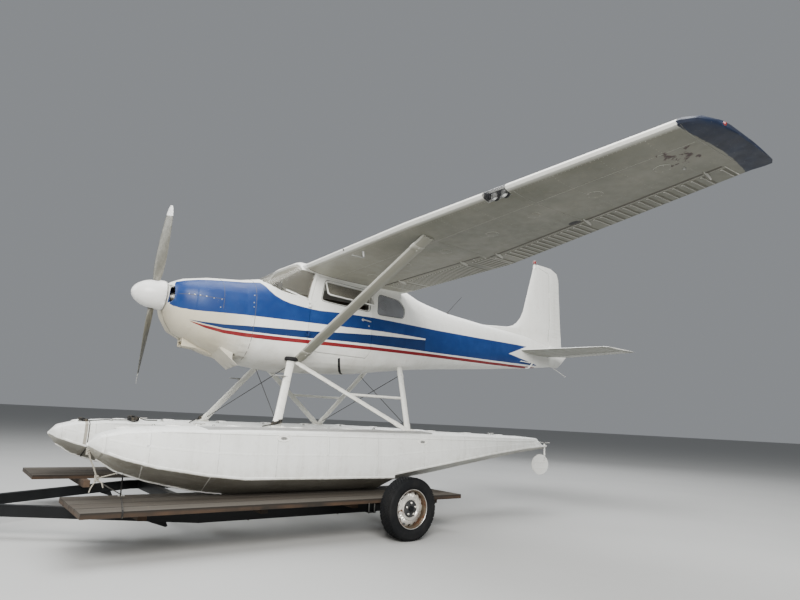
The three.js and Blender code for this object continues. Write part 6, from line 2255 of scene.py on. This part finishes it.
# Half of an axle bolt's bend: x from the axle, z
AXLE_BOLT = ((-0.038, 0.176), (-0.038, 0.335), (-0.026, 0.3565))
COUPLING_HEAD = Vector((4.750, 0, 0.270))
COUPLING_LEVER = ((-0.010, 0.012), (-0.060, 0.042), (-0.150, 0.060), (-0.210, 0.056))
JOCKEY_POST = Vector((4.520, 0.244, 0.0))
JOCKEY_GRIP = ((0.0, 0.011), (0.010, 0.014), (0.060, 0.013), (0.085, 0.015), (0.092, 0.008))
JOCKEY_HUB = ((0.021, 0.048), (0.0235, 0.047), (0.0235, 0.041), (0.019, 0.038), (0.019, 0.022),
              (0.026, 0.020), (0.026, 0.010))


def dress_boards():
    nails = Piece("board_nails", slot="black_steel", looks=("rim_rust",))
    for side in (1, -1):
        for x in BEARER_X:
            for i in range(4):
                for y, dx in ((0.055, -0.014), (0.175, 0.012)):
                    off = 0.003 * ((i * 7) % 3 - 1)
                    at = Vector((x + dx + off, side * (BOARDS_Y + BOARD_PITCH * i + y), BOARD_TOP))
                    nails.dots([(at, UP)], 0.0068, 0.0012, 8)
    nails.done()
    splits = Piece("board_splits", slot="weathered_timber", looks=("seam",))
    for side in (1, -1):
        for i, (x, y, length) in enumerate(SPLITS):
            inward = -length if x > 0 else length
            board = side * (BOARDS_Y + BOARD_PITCH * (i % 4) + y)
            crack = [Vector((x + inward * t, board + 0.006 * math.sin(7 * t + i), BOARD_TOP))
                     for t in (0, 0.25, 0.5, 0.75, 1.0)]
            splits.strip([(p, UP) for p in crack], 0.0028, 0.0005)
    splits.done()


def bolt_rail(bits, side):
    """Axle bolts, their plate, and the bolts and brackets along one rail."""
    middle = side * RAIL_Y
    for y in (middle - 0.052, middle + 0.052):
        bend = AXLE_BOLT + tuple((-x, z) for x, z in reversed(AXLE_BOLT))
        bits.use("steel")
        bits.tube(smooth_path([(AXLE_X + x, y, z) for x, z in bend], 5), 0.0055, 8)
        for x in (AXLE_X - 0.038, AXLE_X + 0.038):
            bits.dots([(Vector((x, y, 0.1815)), DOWN)], 0.011, 0.009, 6)
    bits.use("black_steel")
    bits.box((AXLE_X - 0.055, middle - 0.068, 0.1815), (AXLE_X + 0.055, middle + 0.068, 0.1895))
    for x in (2.48, 2.56, -0.06, 0.02):
        bits.tube(((x, side * 1.2585, 0.196), (x, side * 1.2585, 0.284)), 0.005, 6)
    bits.use("rim_rust")
    for x in RAIL_BOLT_X:
        bits.dots([(Vector((x, middle, 0.190)), DOWN)], 0.020, 0.003, 18)
        bits.dots([(Vector((x, middle, 0.187)), DOWN)], 0.011, 0.009, 6)
    bits.use("black_steel")
    toe = Vector((2.98, side * 1.10, 0.190))
    hook = ((0.10, 0.001), (-0.06, 0.001), (-0.085, -0.050), (-0.065, -0.058))
    bits.plate([toe + Vector((dx, 0, dz)) for dx, dz in hook], (0, side * 0.008, 0))


def fit_coupling(bits):
    head = COUPLING_HEAD
    bits.use("black_steel")
    bits.lathe(((-0.006, 0.046), (0.004, 0.044), (0.014, 0.034), (0.018, 0.012)), head, UP, 24)
    lever = smooth_path([head + Vector((dx, 0, dz)) for dx, dz in COUPLING_LEVER], 5)
    bits.tube(lever, [0.012] * 15 + [0.014], 10, flat=0.6)
    bits.use("steel")
    for dx in (-0.13, -0.19):
        for y in (-0.022, 0.022):
            bits.dots([(head + Vector((dx, y, 0.004)), UP)], 0.011, 0.008, 6)


def fit_jockey_post(bits):
    """Two clamps, the locking screw with its bar, and the winding handle's grip."""
    post = JOCKEY_POST
    bits.use("black_steel")
    for z in (0.315, 0.262):
        bits.lathe(((-0.010, 0.030), (-0.008, 0.033), (0.008, 0.033), (0.010, 0.030)), post + UP * z, UP, 24)
    bits.use("steel")
    bits.tube((post + Vector((0.028, 0, 0.300)), post + Vector((0.075, 0, 0.300))), 0.006, 8)
    bits.tube((post + Vector((0.072, -0.035, 0.300)), post + Vector((0.072, 0.035, 0.300))), 0.0055, 8)
    bits.use("dark_rubber")
    bits.lathe(JOCKEY_GRIP, post + Vector((-0.078, 0, 0.622)), UP, 16)


def dress_chassis():
    bits = Piece("chassis_fittings", slot="black_steel",
                 looks=("black_steel", "steel", "rim_rust", "dark_rubber"))
    for side in (1, -1):
        bolt_rail(bits, side)
    fit_coupling(bits)
    fit_jockey_post(bits)
    bits.done(34)
    hub = Piece("jockey_hub", "jockey_wheel", "tyre_rubber", ("steel",))
    low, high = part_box("jockey_wheel")
    at = Vector([(a + b) / 2 for a, b in zip(low, high)])
    for way in (1, -1):
        hub.lathe(JOCKEY_HUB, at, (0, way, 0), 32)
    hub.done(34)


# Stage

def make_camera():
    data = bpy.data.cameras.new("camera")
    data.lens = CAMERA_LENS
    data.sensor_width = 36.0
    data.clip_end = 500.0
    camera = placed("camera", data)
    turn = Matrix((CAMERA_RIGHT, CAMERA_UP, CAMERA_BACK)).transposed()
    camera.matrix_world = Matrix.Translation(CAMERA_AT) @ turn.to_4x4()
    bpy.context.scene.camera = camera


def make_light(name, at, aim, size, power, colour):
    data = bpy.data.lights.new(name, "AREA")
    data.shape = "DISK"
    data.size = size
    data.energy = power
    data.color = colour
    lamp = placed(name, data)
    way = Vector(aim) - Vector(at)
    lamp.matrix_world = Matrix.Translation(at) @ way.to_track_quat("-Z", "Y").to_matrix().to_4x4()


def make_stage():
    world = bpy.data.worlds.new("sky")
    bpy.context.scene.world = world
    world.use_nodes = True
    sky = world.node_tree.nodes["Background"].inputs
    sky["Color"].default_value = (0.86, 0.90, 0.95, 1)
    sky["Strength"].default_value = 0.30
    mesh = bpy.data.meshes.new("floor")
    half = 260.0
    corners = [(x, y, 0) for x, y in ((-half, -half), (half, -half), (half, half), (-half, half))]
    mesh.from_pydata(corners, [], [(0, 1, 2, 3)])
    floor = placed("floor", mesh)
    g = Graph("floor", rough=0.9)
    mesh.materials.append(g.out(g.mix(g.noise(0.8, 5.0), (0.35, 0.35, 0.34), (0.39, 0.39, 0.38))))
    make_light("overhead", (1.0, 1.0, 15.0), (0.5, 0.0, 0), 15.0, 3500, (0.97, 0.985, 1.0))
    make_light("key", (8.0, 12.0, 8.0), (0, 0, 2), 8.0, 3900, (1.0, 0.985, 0.955))
    make_light("sky_left", (12.0, -4.0, 8.0), (0, 0, 2), 8.0, 900, (0.94, 0.97, 1.0))
    make_light("back", (-10.0, -6.0, 9.0), (0, 0, 2), 8.0, 700, (0.96, 0.98, 1.0))


make_camera()
lay_deck_rope()
hang_rope_ends()
make_stage()
dress_nodes()
rivet_hull()
seam_cowl()
fasten_cowl()
close_cowl_flap()
build_propeller()
build_engine()
build_road_wheels()
rivet_floats()
fit_floats()
dress_struts()
rivet_wings()
fit_wings()
light_bay()
rivet_tail()
bead_tail()
fit_tail()
line_rudder()
frame_windows()
dress_doors()
dress_cabin()
build_seats()
tie_near_bow()
lash_boards()
strap_far_bow()
tie_strut_feet()
fit_boots()
dress_boards()
dress_chassis()
